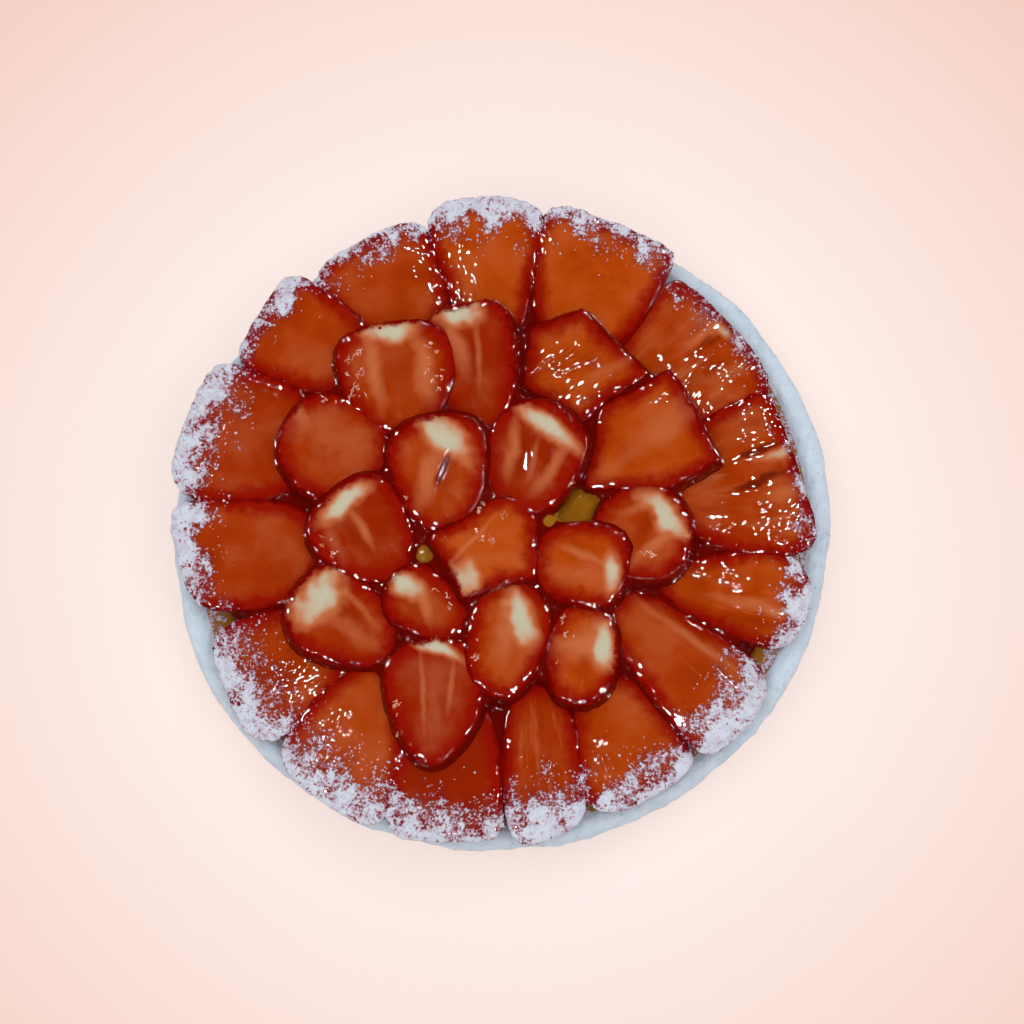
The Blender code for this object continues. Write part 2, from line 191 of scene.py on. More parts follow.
# How each piece looks: tone runs from 0, orange, to 1, deep red. Sugar starts as specks at the first
# radius from the tart's centre (mm) and lies thick from the second.
Finish = namedtuple("Finish", "tone specks solid marks", defaults=(200, 220, ()))
FINISHES = {
    "rim_slice_01": Finish(0.08, 88, 99, (Mark(RIPPLE, 0.6, 0.55, 0.3, 0.4),)),
    "rim_slice_02": Finish(0.06, 89, 102, (Mark(RIPPLE, 0.9, 0.3, 0.2, 0.2),)),
    "rim_slice_03": Finish(
        0.42,
        86,
        101,
        (
            Mark(BLUSH, 0.15, 0.20, 0.07, 0.18, -10, 0.8),
            Mark(PALE, 0.03, 0.09, 0.06, 0.09, -68, 0.8),
            Mark(HOLLOW, 0.03, 0.24, 0.07, 0.18, -2, 0.7),
            Mark(BLUSH, -0.45, 0.31, 0.09, 0.19, -19, 0.5),
            Mark(RIPPLE, -0.3, 0.5, 0.7, 0.5),
            Mark(STREAK, 0, 0.5, 1.2, 0.7, 0, 0.7),
        ),
    ),
    "rim_slice_04": Finish(
        0.42,
        88,
        98,
        (
            Mark(HOLLOW, -0.04, 0.30, 0.07, 0.22, 9, 1.0),
            Mark(HOLLOW, 0.35, 0.28, 0.06, 0.19, 11, 0.9),
            Mark(PALE, 0.26, 0.10, 0.06, 0.18, 6, 0.8),
            Mark(BLUSH, -0.27, 0.12, 0.11, 0.18, 7, 0.6),
            Mark(RIPPLE, -0.6, 0.4, 0.4, 0.5),
            Mark(RIPPLE, 0.7, 0.25, 0.3, 0.3),
            Mark(STREAK, 0, 0.5, 1.2, 0.7, 0, 0.7),
        ),
    ),
    "rim_slice_05": Finish(
        0.22,
        83,
        94,
        (
            Mark(BLUSH, -0.20, 0.36, 0.11, 0.25, -3, 0.8),
            Mark(PALE, -0.28, 0.16, 0.08, 0.11, -1, 0.5),
            Mark(RIPPLE, 0.3, 0.6, 0.3, 0.3),
            Mark(STREAK, -0.4, 0.4, 0.8, 0.6, 0, 0.7),
        ),
    ),
    "rim_slice_06": Finish(
        0.46,
        76,
        90,
        (
            Mark(BLUSH, 0.49, 0.49, 0.08, 0.35, 9, 0.8),
            Mark(BLUSH, 0.55, 0.27, 0.14, 0.22, 5, 0.4),
            Mark(STREAK, 0.5, 0.4, 0.6, 0.5, 0, 0.5),
        ),
    ),
    "rim_slice_07": Finish(0.30, 77, 92, (Mark(RIPPLE, -0.5, 0.4, 0.2, 0.2),)),
    "rim_slice_08": Finish(
        0.58, 73, 90, (Mark(BLUSH, 0, 0.03, 0.5, 0.15, 0, 0.5), Mark(STREAK, 0, 0.5, 1, 0.6, 0, 0.6))
    ),
    "rim_slice_09": Finish(0.90, 79, 94),
    "rim_slice_10": Finish(0.34, 76, 97, (Mark(RIPPLE, -0.3, 0.4, 0.4, 0.3),)),
    "rim_slice_11": Finish(0.50, 74, 96, (Mark(RIPPLE, 0.3, 0.5, 0.4, 0.3),)),
    "rim_slice_12": Finish(0.56, 84, 96),
    "rim_slice_13": Finish(
        0.64,
        84,
        99,
        (
            Mark(BLUSH, -0.6, 0.15, 0.3, 0.2, 0, 0.5),
            Mark(RIPPLE, 0.7, 0.2, 0.2, 0.2),
            Mark(RIPPLE, -0.72, 0.50, 0.22, 0.26),
            Mark(RIPPLE, -0.1, 0.27, 0.22, 0.15),
        ),
    ),
    "rim_slice_14": Finish(0.44, 90, 100),
    "rim_slice_15": Finish(0.46, 89, 101, (Mark(RIPPLE, -0.7, 0.5, 0.3, 0.5),)),
    "middle_half_01": Finish(
        0.52,
        marks=(
            Mark(PALE, 0.02, 0.10, 0.16, 0.20, 88, 1.0),
            Mark(BLUSH, 0.37, 0.40, 0.12, 0.28, 2, 1.0),
            Mark(BLUSH, -0.46, 0.42, 0.14, 0.26, 4, 1.0),
            Mark(DEEP, -0.05, 0.42, 0.24, 0.18, 7, 0.4),
        ),
    ),
    "middle_half_02": Finish(
        0.85,
        marks=(
            Mark(PALE, 0.22, 0.07, 0.26, 0.15, 81, 1.0),
            Mark(BLUSH, 0.29, 0.29, 0.16, 0.19, 11, 0.9),
            Mark(DEEP, 0.04, 0.38, 0.11, 0.19, -6, 0.9),
            Mark(BLUSH, -0.15, 0.38, 0.07, 0.20, -6, 0.7),
        ),
    ),
    "middle_slice_03": Finish(
        0.14, marks=(Mark(BLUSH, -0.37, 0.19, 0.10, 0.26, -7, 0.5), Mark(RIPPLE, 0, 0.5, 1.0, 0.6))
    ),
    "middle_slice_04": Finish(
        0.18,
        marks=(
            Mark(BLUSH, 0.23, 0.24, 0.26, 0.30, 15, 0.5),
            Mark(BLUSH, -0.12, 0.62, 0.15, 0.35, 16, 0.35),
            Mark(RIPPLE, 0.8, 0.2, 0.3, 0.3),
        ),
    ),
    "middle_half_05": Finish(
        0.55,
        marks=(
            Mark(BLUSH, -0.22, 0.39, 0.42, 0.40, -18, 0.45),
            Mark(PALE, -0.47, 0.13, 0.12, 0.12, -50, 0.3),
        ),
    ),
    "middle_half_06": Finish(
        0.48,
        marks=(
            Mark(PALE, -0.16, 0.19, 0.27, 0.22, 46, 1.0),
            Mark(BLUSH, 0.23, 0.50, 0.16, 0.27, -20, 0.9),
            Mark(DEEP, -0.17, 0.58, 0.14, 0.17, -14, 0.5),
            Mark(BLUSH, -0.54, 0.38, 0.10, 0.12, 23, 0.6),
            Mark(HOLLOW, -0.08, 0.47, 0.07, 0.15, -25, 1.0),
        ),
    ),
    "middle_half_07": Finish(
        0.85,
        marks=(
            Mark(PALE, -0.09, 0.21, 0.15, 0.30, 71, 1.0),
            Mark(BLUSH, 0.45, 0.47, 0.11, 0.24, 12, 0.9),
            Mark(BLUSH, -0.44, 0.51, 0.11, 0.24, -18, 0.9),
            Mark(BLUSH, -0.03, 0.51, 0.06, 0.16, 4, 0.7),
            Mark(DEEP, 0.24, 0.48, 0.12, 0.22, 10, 1.0),
            Mark(DEEP, -0.25, 0.45, 0.10, 0.15, 5, 0.8),
        ),
    ),
    "middle_half_08": Finish(
        0.85,
        marks=(
            Mark(PALE, -0.05, 0.17, 0.20, 0.24, 84, 1.0),
            Mark(BLUSH, 0.00, 0.46, 0.08, 0.18, -9, 0.9),
            Mark(DEEP, 0.21, 0.47, 0.10, 0.19, -4, 0.9),
            Mark(BLUSH, 0.56, 0.36, 0.12, 0.19, -14, 0.5),
        ),
    ),
    "middle_half_09": Finish(
        0.05,
        marks=(
            Mark(PALE, -0.20, 0.14, 0.22, 0.15, 20, 0.75),
            Mark(BLUSH, -0.38, 0.46, 0.05, 0.28, -24, 0.8),
            Mark(BLUSH, -0.11, 0.31, 0.16, 0.29, -52, 0.3),
        ),
    ),
    "middle_half_10": Finish(
        0.20,
        marks=(
            Mark(PALE, -0.08, 0.17, 0.16, 0.19, -83, 0.9),
            Mark(BLUSH, 0.16, 0.45, 0.09, 0.26, -13, 0.8),
            Mark(BLUSH, -0.26, 0.45, 0.24, 0.30, 3, 0.5),
        ),
    ),
    "middle_half_11": Finish(
        0.50,
        marks=(
            Mark(PALE, 0.30, 0.24, 0.20, 0.29, -45, 1.0),
            Mark(BLUSH, 0.50, 0.48, 0.10, 0.17, 17, 0.7),
            Mark(BLUSH, -0.28, 0.35, 0.12, 0.24, 35, 0.9),
            Mark(DEEP, 0.06, 0.48, 0.14, 0.16, 47, 0.6),
        ),
    ),
    "middle_half_12": Finish(
        0.65,
        marks=(
            Mark(PALE, -0.20, 0.21, 0.36, 0.24, 74, 1.0),
            Mark(BLUSH, 0.09, 0.55, 0.20, 0.28, -5, 0.55),
            Mark(BLUSH, -0.44, 0.55, 0.07, 0.21, -18, 0.6),
            Mark(DEEP, -0.19, 0.54, 0.13, 0.17, -15, 0.8),
        ),
    ),
    "middle_half_13": Finish(
        0.62,
        marks=(
            Mark(PALE, -0.15, 0.17, 0.26, 0.22, 14, 1.0),
            Mark(BLUSH, 0.02, 0.48, 0.15, 0.22, -40, 0.9),
            Mark(DEEP, 0.23, 0.36, 0.16, 0.18, -11, 0.5),
        ),
    ),
    "middle_half_14": Finish(
        0.32, marks=(Mark(PALE, -0.16, 0.26, 0.24, 0.24, 35, 1.0), Mark(BLUSH, 0.09, 0.42, 0.24, 0.29, 0, 0.8))
    ),
    "middle_half_15": Finish(
        0.20, marks=(Mark(PALE, -0.54, 0.42, 0.28, 0.22, 3, 1.0), Mark(BLUSH, -0.13, 0.43, 0.40, 0.29, -87, 1.0))
    ),
    "middle_half_16": Finish(
        0.88,
        marks=(
            Mark(PALE, -0.06, 0.07, 0.11, 0.20, 69, 1.0),
            Mark(BLUSH, 0.23, 0.40, 0.05, 0.28, 3, 0.7),
            Mark(BLUSH, -0.33, 0.36, 0.05, 0.20, -8, 0.7),
            Mark(BLUSH, 0.00, 0.44, 0.16, 0.30, 0, 0.25),
        ),
    ),
}

# Where the glaze has set in fine threads: piece, across, along, half the patch's width and length as
# shares, and how many threads.
Threads = namedtuple("Threads", "across along wide long count")
THREADS = {
    "middle_half_01": (Threads(-0.66, 0.45, 0.18, 0.22, 14), Threads(0.68, 0.44, 0.16, 0.22, 16)),
    "middle_half_05": (Threads(-0.80, 0.45, 0.08, 0.20, 5),),
    "middle_half_06": (Threads(0.55, 0.55, 0.20, 0.16, 6),),
    "middle_half_08": (Threads(0.72, 0.40, 0.12, 0.14, 5),),
    "middle_half_09": (Threads(-0.15, 0.70, 0.30, 0.18, 10),),
    "middle_half_11": (Threads(-0.45, 0.50, 0.16, 0.20, 6),),
    "middle_half_13": (Threads(-0.45, 0.60, 0.18, 0.14, 4),),
    "middle_half_14": (Threads(0.60, 0.55, 0.14, 0.24, 5),),
    "middle_half_15": (Threads(0.60, 0.40, 0.16, 0.26, 5),),
    "middle_half_16": (Threads(0.75, 0.50, 0.08, 0.26, 5),),
}


# ---------------------------------------------------------------- settings


def tint(red, green, blue):
    """A display colour of three parts in 255 as linear light."""
    share = np.array([red, green, blue]) / 255
    linear = np.where(share <= 0.04045, share / 12.92, ((share + 0.055) / 1.055) ** 2.4)
    return tuple(float(value) for value in linear)


def colour_setting(name, description, default):
    return FloatVectorProperty(
        name=name, description=description, default=default, size=3, min=0, max=1, subtype="COLOR"
    )


def length_setting(name, description, default):
    return FloatProperty(
        name=name, description=description, default=default, min=0, unit="LENGTH", subtype="DISTANCE"
    )


def share_setting(name, description, default):
    return FloatProperty(
        name=name, description=description, default=default, min=0, max=1, subtype="FACTOR"
    )


class FruitLook(bpy.types.PropertyGroup):
    """The glazed strawberries."""

    orange: colour_setting("Orange flesh", "The paler pieces' flesh", tint(192, 76, 10))
    red: colour_setting("Red flesh", "The riper pieces' flesh", tint(150, 27, 2))
    blush: colour_setting("Blush", "Paler flesh round the heart", tint(208, 120, 74))
    heart: colour_setting("Heart", "The white heart under the leafy end", tint(206, 198, 170))
    channel: colour_setting("Channel", "The deeper flesh between pale strands", tint(146, 36, 2))
    rim: colour_setting("Rim", "The flesh just inside the skin", tint(150, 16, 2))
    skin: colour_setting("Skin", "The skin round the cut face", tint(124, 5, 2))
    # painted shade: the split at the heart gets a darker colour that stands in for the shade inside it
    hollow: colour_setting("Hollow", "The split at the heart", tint(112, 26, 6))
    seed: colour_setting("Seed", "The seeds on the skin", tint(176, 88, 30))
    gloss: share_setting("Glaze roughness", "0 is wet glass, 1 is dull", 0.045)
    ripple: length_setting("Glaze ripple", "Depth of the ripples in the thick glaze", 0.23 * MM)
    # painted highlight: the pale thread colour stands in for the glints on the glaze threads
    thread: colour_setting("Glaze thread", "Glaze that set in threads", tint(236, 176, 160))
    thread_radius: length_setting("Thread radius", "Half a glaze thread's thickness", 0.15 * MM)


class FillingLook(bpy.types.PropertyGroup):
    """The custard and the glaze that has run between the fruit."""

    custard: colour_setting("Custard", "The filling where it lies open", tint(164, 108, 24))
    amber: colour_setting("Amber", "Custard under thin glaze", tint(138, 76, 9))
    # painted shade: partly the red of the glaze, partly shade painted dark into the narrow seams between the fruit
    seam: colour_setting("Seam", "Glaze in the narrow seams", tint(108, 9, 4))
    drop: length_setting("Glaze drop", "How far the glaze lies below the fruit round it", 1.6 * MM)
    reach: length_setting("Glaze reach", "Half the widest gap that the glaze bridges", 2.3 * MM)
    rise: length_setting("Custard rise", "How far the custard swells between the fruit", 5 * MM)


class CrustLook(bpy.types.PropertyGroup):
    """The pastry and its icing sugar."""

    baked: colour_setting("Baked pastry", "The side of the crust", tint(206, 170, 118))
    browned: colour_setting("Browned pastry", "Where it caught the heat", tint(168, 118, 66))
    caked: colour_setting("Caked sugar", "Sugar on the crust", tint(216, 232, 246))
    dulled: colour_setting("Dulled sugar", "Sugar that the crust shows through", tint(192, 212, 228))
    sugar: colour_setting("Icing sugar", "Dry sugar on the fruit", tint(212, 219, 232))
    lilac: colour_setting("Lilac sugar", "Sugar in thin patches", tint(190, 184, 204))
    damp: colour_setting("Damp sugar", "Sugar that has drawn up juice", tint(182, 126, 146))
    juice: colour_setting("Juice", "Wet skin between the sugar", tint(112, 16, 36))


class StageLook(bpy.types.PropertyGroup):
    """The floor, the light and the camera."""

    floor: colour_setting("Floor", "The pale ground", tint(255, 243, 239))
    # painted shade: the floor is darker and pinker away from the tart, as if the light fell off there
    floor_far_shade: colour_setting("Far floor", "The ground away from the tart", tint(244, 206, 193))
    frame_width: length_setting("Frame width", "What the picture spans at the rim", 314.6 * MM)
    elevation: FloatProperty(
        name="Elevation",
        description="How far above the horizon the camera stands",
        default=math.radians(82),
        subtype="ANGLE",
        unit="ROTATION",
    )
    lens: FloatProperty(name="Lens", description="Focal length", default=85, unit="CAMERA")
    sky_power: FloatProperty(name="Sky power", description="The wide lamp overhead", default=19, unit="POWER")
    soft_power: FloatProperty(
        name="Soft lamp power", description="Each of the lamps at the sides", default=1.2, unit="POWER"
    )
    spark_power: FloatProperty(
        name="Spark lamp power", description="Each small lamp that the glaze mirrors", default=9.5, unit="POWER"
    )


SETTINGS = {
    "tart_fruit": FruitLook,
    "tart_filling": FillingLook,
    "tart_crust": CrustLook,
    "tart_stage": StageLook,
}


# ---------------------------------------------------------------- meshes


def new_object(name, mesh, material):
    mesh.materials.append(material)
    obj = bpy.data.objects.new(name, mesh)
    bpy.context.scene.collection.objects.link(obj)
    return obj


def mesh_of(name, points, faces):
    """A smooth-shaded mesh from an array of points and arrays of faces, each of one number of corners."""
    mesh = bpy.data.meshes.new(name)
    counts = np.concatenate([np.full(len(part), part.shape[1]) for part in faces])
    corners = np.concatenate([part.reshape(-1) for part in faces])
    mesh.vertices.add(len(points))
    mesh.vertices.foreach_set("co", np.asarray(points, np.float32).reshape(-1))
    mesh.loops.add(len(corners))
    mesh.loops.foreach_set("vertex_index", corners.astype(np.int32))
    mesh.polygons.add(len(counts))
    mesh.polygons.foreach_set("loop_start", (np.cumsum(counts) - counts).astype(np.int32))
    mesh.polygons.foreach_set("use_smooth", np.ones(len(counts), bool))
    mesh.update(calc_edges=True)
    mesh.validate()
    return mesh


def skin_points(values):
    """The points of a closed surface in order, from values[..., row, column] whose first and last rows
    are each one point."""
    rows, columns = values.shape[:2]
    inner = values[1:-1].reshape((rows - 2) * columns, *values.shape[2:])
    return np.concatenate([values[:1, 0], inner, values[-1:, 0]])


def skin_faces(rows, columns):
    """The faces of a closed surface: bands of quads between two fans of triangles."""
    index = 1 + np.arange((rows - 2) * columns).reshape(rows - 2, columns)
    beside = np.roll(index, -1, axis=1)
    quads = np.stack([index[:-1], index[1:], beside[1:], beside[:-1]], axis=-1).reshape(-1, 4)
    top = np.stack([np.zeros(columns, int), index[0], beside[0]], axis=-1)
    last = (rows - 2) * columns + 1
    bottom = np.stack([index[-1], np.full(columns, last), beside[-1]], axis=-1)
    return [quads, top, bottom]


def closed_skin(name, grid, fields):
    """A closed surface from grid[row, column]: columns run anticlockwise round it and join up, and the
    first and last rows are each one point. fields are values for the same grid, kept as attributes."""
    mesh = mesh_of(name, skin_points(grid), skin_faces(*grid.shape[:2]))
    for field, values in fields.items():
        kind = "FLOAT" if values.ndim == 2 else "FLOAT_VECTOR"
        slot = "value" if values.ndim == 2 else "vector"
        layer = mesh.attributes.new(field, kind, "POINT")
        layer.data.foreach_set(slot, skin_points(values).astype(np.float32).reshape(-1))
    return mesh


def scattered(name, shape_points, shape_faces, places):
    """One mesh of many copies: places[i] holds the three axes and the middle of copy i, each a row."""
    points = shape_points @ places[:, :3] + places[:, 3:4]
    faces = shape_faces[None] + np.arange(len(places))[:, None, None] * len(shape_points)
    return mesh_of(name, points.reshape(-1, 3), [faces.reshape(-1, shape_faces.shape[1])])


def lain_flat(points, normals, sizes, chance):
    """Places for scattered(): each shape's third axis along its normal, spun by chance, with sizes[i]
    for its three axes."""
    loose = chance.normal(size=normals.shape)
    along = unit(loose - normals * (loose * normals).sum(-1, keepdims=True))
    across = np.cross(along, normals)
    axes = np.stack([across, along, normals], axis=1) * sizes[..., None]
    return np.concatenate([axes, points[:, None]], axis=1)


def unit(vectors):
    return vectors / np.maximum(np.linalg.norm(vectors, axis=-1, keepdims=True), 1e-12)


def ball(columns, rows):
    """A unit ball as points and triangles: rows of points at even angles from pole to pole."""
    down = np.linspace(0, math.pi, rows + 1)[1:-1, None]
    round_ = np.linspace(0, TAU, columns, endpoint=False)[None]
    body = np.stack(
        [np.sin(down) * np.cos(round_), np.sin(down) * np.sin(round_), np.cos(down) + 0 * round_], -1
    ).reshape(-1, 3)
    points = np.concatenate([[[0, 0, 1]], body, [[0, 0, -1]]])
    index = 1 + np.arange((rows - 1) * columns).reshape(rows - 1, columns)
    beside = np.roll(index, -1, axis=1)
    last = np.full(columns, len(points) - 1)
    faces = np.concatenate(
        [
            np.stack([0 * index[0], index[0], beside[0]], -1),
            np.stack([index[:-1], index[1:], beside[1:]], -1).reshape(-1, 3),
            np.stack([index[:-1], beside[1:], beside[:-1]], -1).reshape(-1, 3),
            np.stack([index[-1], last, beside[-1]], -1),
        ]
    )
    return points, faces


def unevenness(points, wavelength, seed, count=14):
    """A smooth random height for each point: a sum of sine waves in random directions, each about one
    wavelength long, scaled to a spread of 1."""
    chance = np.random.default_rng(seed)
    heading = chance.normal(size=(3, count))
    heading /= np.linalg.norm(heading, axis=0) * wavelength * chance.uniform(0.75, 1.35, count)
    waves = np.sin(TAU * (points @ heading) + chance.uniform(0, TAU, count))
    return waves.sum(-1) / math.sqrt(count / 2)


def smooth_step(value, low, high):
    """0 below low, 1 above high and an S-shaped rise between."""
    share = np.clip((value - low) / (high - low), 0, 1)
    return share * share * (3 - 2 * share)


def signed_power(value, power):
    return np.sign(value) * np.abs(value) ** power


def grid_areas(grid):
    """Outward vectors as long as the area that each point of a closed_skin grid stands for."""
    down = np.gradient(grid, axis=0)
    beside = (np.roll(grid, -1, axis=1) - np.roll(grid, 1, axis=1)) / 2
    return np.cross(down, beside)


def grid_normals(grid):
    return unit(grid_areas(grid))


# ---------------------------------------------------------------- the shape of the tart


def oval(x, y):
    """Where a point of the round plan lies on the oval: drawn out along X, in along Y, then turned."""
    x, y = OVAL_LONG * x, OVAL_SHORT * y
    turn = OVAL_BEARING
    return x * math.cos(turn) - y * math.sin(turn), x * math.sin(turn) + y * math.cos(turn)


def oval_radius(x, y):
    """The radius in the round plan of a point on the oval."""
    turn = OVAL_BEARING
    along = (x * math.cos(turn) + y * math.sin(turn)) / OVAL_LONG
    across = (y * math.cos(turn) - x * math.sin(turn)) / OVAL_SHORT
    return np.hypot(along, across)


def fruit_radius(grid):
    """How far each point lies from the middle of the fruit in mm."""
    return np.hypot(grid[..., 0] - FRUIT_SHIFT[0], grid[..., 1] - FRUIT_SHIFT[1]) / MM


def custard_height(radius):
    """The custard's surface: a dome whose height falls with the square of the distance from the middle."""
    edge = CRUST_HIGH.z - CUSTARD_BELOW_LIP
    return edge + (CUSTARD_HIGH.z - edge) * (1 - (radius / CUSTARD_RADIUS) ** 2)


def side_profile(berry):
    """(spread, height) from the middle of the cut face over the edge and under the belly. Above the
    widest line, height to the power crown_square and spread to the same power add up to 1, and
    below it the same holds for belly_square. Rows lie even along the line, and thinner under the belly."""
    cut = CUTS[berry.cut]
    angle = np.linspace(0, math.pi / 2, 600)
    crown = np.sin(angle) ** (2 / cut.crown_square), np.cos(angle) ** (2 / cut.crown_square)
    belly = np.cos(angle) ** (2 / cut.belly_square), np.sin(angle) ** (2 / cut.belly_square)
    spread = np.concatenate([crown[0], belly[0][1:]])
    height = np.concatenate([crown[1] * cut.crown, -belly[1][1:] * cut.belly])
    half = (berry.width + berry.length) / 4
    step = np.hypot(np.diff(spread) * half, np.diff(height))
    middle = (height[1:] + height[:-1]) / 2
    effort = np.interp(middle, [-cut.belly, -0.8 * cut.belly, -0.3 * cut.belly, 0], [0.2, 0.3, 0.8, 1.2])
    along = np.concatenate([[0], np.cumsum(step * np.where(middle > 0, 1.0, effort))])
    even = np.linspace(0, along[-1], FRUIT_ROWS)
    return np.interp(even, along, spread), np.interp(even, along, height)


def outline(berry, angle):
    """The piece's outline seen square on. It is two half superellipses that meet at the widest line,
    narrowed towards the tip and cut askew at the leafy end, or for a piece with flat sides a rounded
    polygon: the radius whose shares of the sides' distances, to a high power, add up to 1. A few long
    waves and some short ones make it uneven."""
    across, along = np.cos(angle), np.sin(angle)
    chance = random.Random(berry.name)
    wave = np.ones_like(angle)
    around = np.arctan2(across, along)
    for humps in WAVE_HUMPS:
        size = WAVE * chance.uniform(0.3, 1.0)
        wave += size * np.cos(humps * around + chance.uniform(0, TAU))
    for humps in BUMP_HUMPS:
        size = WAVE * BUMP_SHARE * chance.uniform(0.5, 1.0)
        wave += size * np.cos(humps * around + chance.uniform(0, TAU))
    if berry.name in SIDES:
        facing, distance = np.array(SIDES[berry.name], float).T
        reach = np.maximum(0, np.cos(angle[:, None] - np.radians(facing))) / distance
        radius = (reach**SIDE_SQUARE).sum(-1) ** (-1 / SIDE_SQUARE)
        return radius * across * wave, radius * along * wave
    square = np.where(along > 0, berry.point, berry.shoulder)
    part = np.where(along > 0, 1 - berry.widest, berry.widest)
    x = berry.width / 2 * signed_power(across, 2 / square)
    y = berry.length * part * signed_power(along, 2 / square)
    y += (berry.widest - 0.5) * berry.length
    x *= 1 - berry.taper * 2 * y / berry.length
    y += berry.slant * x * np.maximum(0, -along)
    return x * wave, y * wave


def half_width(berry, y):
    """Half the outline's width at a distance y along the piece."""
    from_widest = y - (berry.widest - 0.5) * berry.length
    tipward = from_widest > 0
    square = np.where(tipward, berry.point, berry.shoulder)
    part = np.where(tipward, 1 - berry.widest, berry.widest) * berry.length
    share = np.clip(np.abs(from_widest) / part, 0, 1)
    half = berry.width / 2 * (1 - share**square) ** (1 / square)
    return np.maximum(half * (1 - berry.taper * 2 * y / berry.length), 0.2 * berry.width / 2)


def mark_distance(berry, mark, x, y):
    """How far out from a mark's middle each point lies, as a share of the mark's own radius there."""
    turn = math.radians(mark.turn)
    dx = x - mark.across * berry.width / 2
    dy = y - (mark.along - 0.5) * berry.length
    wide = (dx * math.cos(turn) + dy * math.sin(turn)) / (mark.wide * berry.width / 2)
    long = (dy * math.cos(turn) - dx * math.sin(turn)) / (mark.long * berry.length)
    return np.hypot(wide, long)


def mark_fields(berry, marks, x, y, on_face):
    """A field from 0 to 1 for each kind of mark. Each mark is an ellipse that fades out from its middle,
    read at points pushed about by two sets of waves so that its edge wanders."""
    flat = np.stack([x, y, 0 * x + berry.bearing], -1)
    push_x = unevenness(flat, 10, 51) + 0.35 * unevenness(flat, 3.5, 52)
    push_y = unevenness(flat, 10, 53) + 0.35 * unevenness(flat, 3.5, 54)
    fields = {kind: np.zeros_like(x) for kind in MARK_SPAN}
    for mark in marks:
        push = 0.2 * min(mark.wide * berry.width / 2, mark.long * berry.length)
        away = mark_distance(berry, mark, x + push * push_x, y + push * push_y)
        value = 1 - smooth_step(away, *MARK_SPAN[mark.kind])
        fields[mark.kind] = np.maximum(fields[mark.kind], mark.strength * value)
    return {kind: values * on_face for kind, values in fields.items()}


def fibre_place(berry, x, y):
    """Where the fibres' noise is read, so that it draws them out: in a half they run out from the heart,
    and in a slice along its length, closing in on the tip."""
    if berry.cut == "half":
        heart = (0.34 - 0.5) * berry.length
        angle = np.arctan2(x, y - heart)
        away = np.hypot(x, y - heart)
        return np.stack([5 * np.cos(angle), 5 * np.sin(angle), away / 9 + berry.bearing], -1)
    return np.stack([5 * x / half_width(berry, y), 0.9 * y / 20, 0 * x + berry.bearing], -1)


def placement(berry):
    """The turn that lays the piece with its tip towards the tart's middle, and its place in plan."""
    heading = math.radians(berry.bearing + 180 + berry.turn - 90)
    tilt = Euler((math.radians(berry.pitch), math.radians(berry.roll), 0), TILT_ORDER)
    turn = np.array(Matrix.Rotation(heading, 3, "Z") @ tilt.to_matrix())
    bearing = math.radians(berry.bearing)
    place = np.array([math.cos(bearing), math.sin(bearing), 0]) * berry.reach * MM + FRUIT_SHIFT
    return turn, place


def seed_places(berry, grid, spread, height):
    """Grid places of the seeds: rings round the skin, each shifted by half a step from the last, with
    every seed pushed off its ring by chance and a few left out."""
    cut = CUTS[berry.cut]
    chance = random.Random(berry.name + " seeds")
    half = (berry.width + berry.length) / 4
    length = np.concatenate([[0], np.cumsum(np.hypot(np.diff(spread) * half, np.diff(height)))])
    start = length[np.argmax(height < 0.1 * cut.crown)]
    end = length[np.argmax(height < -0.82 * cut.belly)]
    places = []
    for ring in range(int((end - start) / (SEED_SPACING * 0.85)) + 1):
        level = start + (ring + 0.2) * SEED_SPACING * 0.85
        row = int(np.argmin(np.abs(length - level)))
        around = np.linalg.norm(np.diff(grid[row], axis=0), axis=-1).sum() / MM
        count = max(6, int(around / SEED_SPACING))
        for number in range(count):
            step = (number + ring / 2 + chance.uniform(-0.3, 0.3)) / count
            shift = chance.choice((-2, -1, 0, 1, 2))
            if chance.random() > 0.15:
                column = int(step * FRUIT_COLUMNS) % FRUIT_COLUMNS
                places.append((min(max(row + shift, 1), FRUIT_ROWS - 2), column))
    return np.array(places)


def seed_number(berry):
    """A whole number of its own for each piece, to start its waves from."""
    return [row.name for row in FRUIT].index(berry.name)


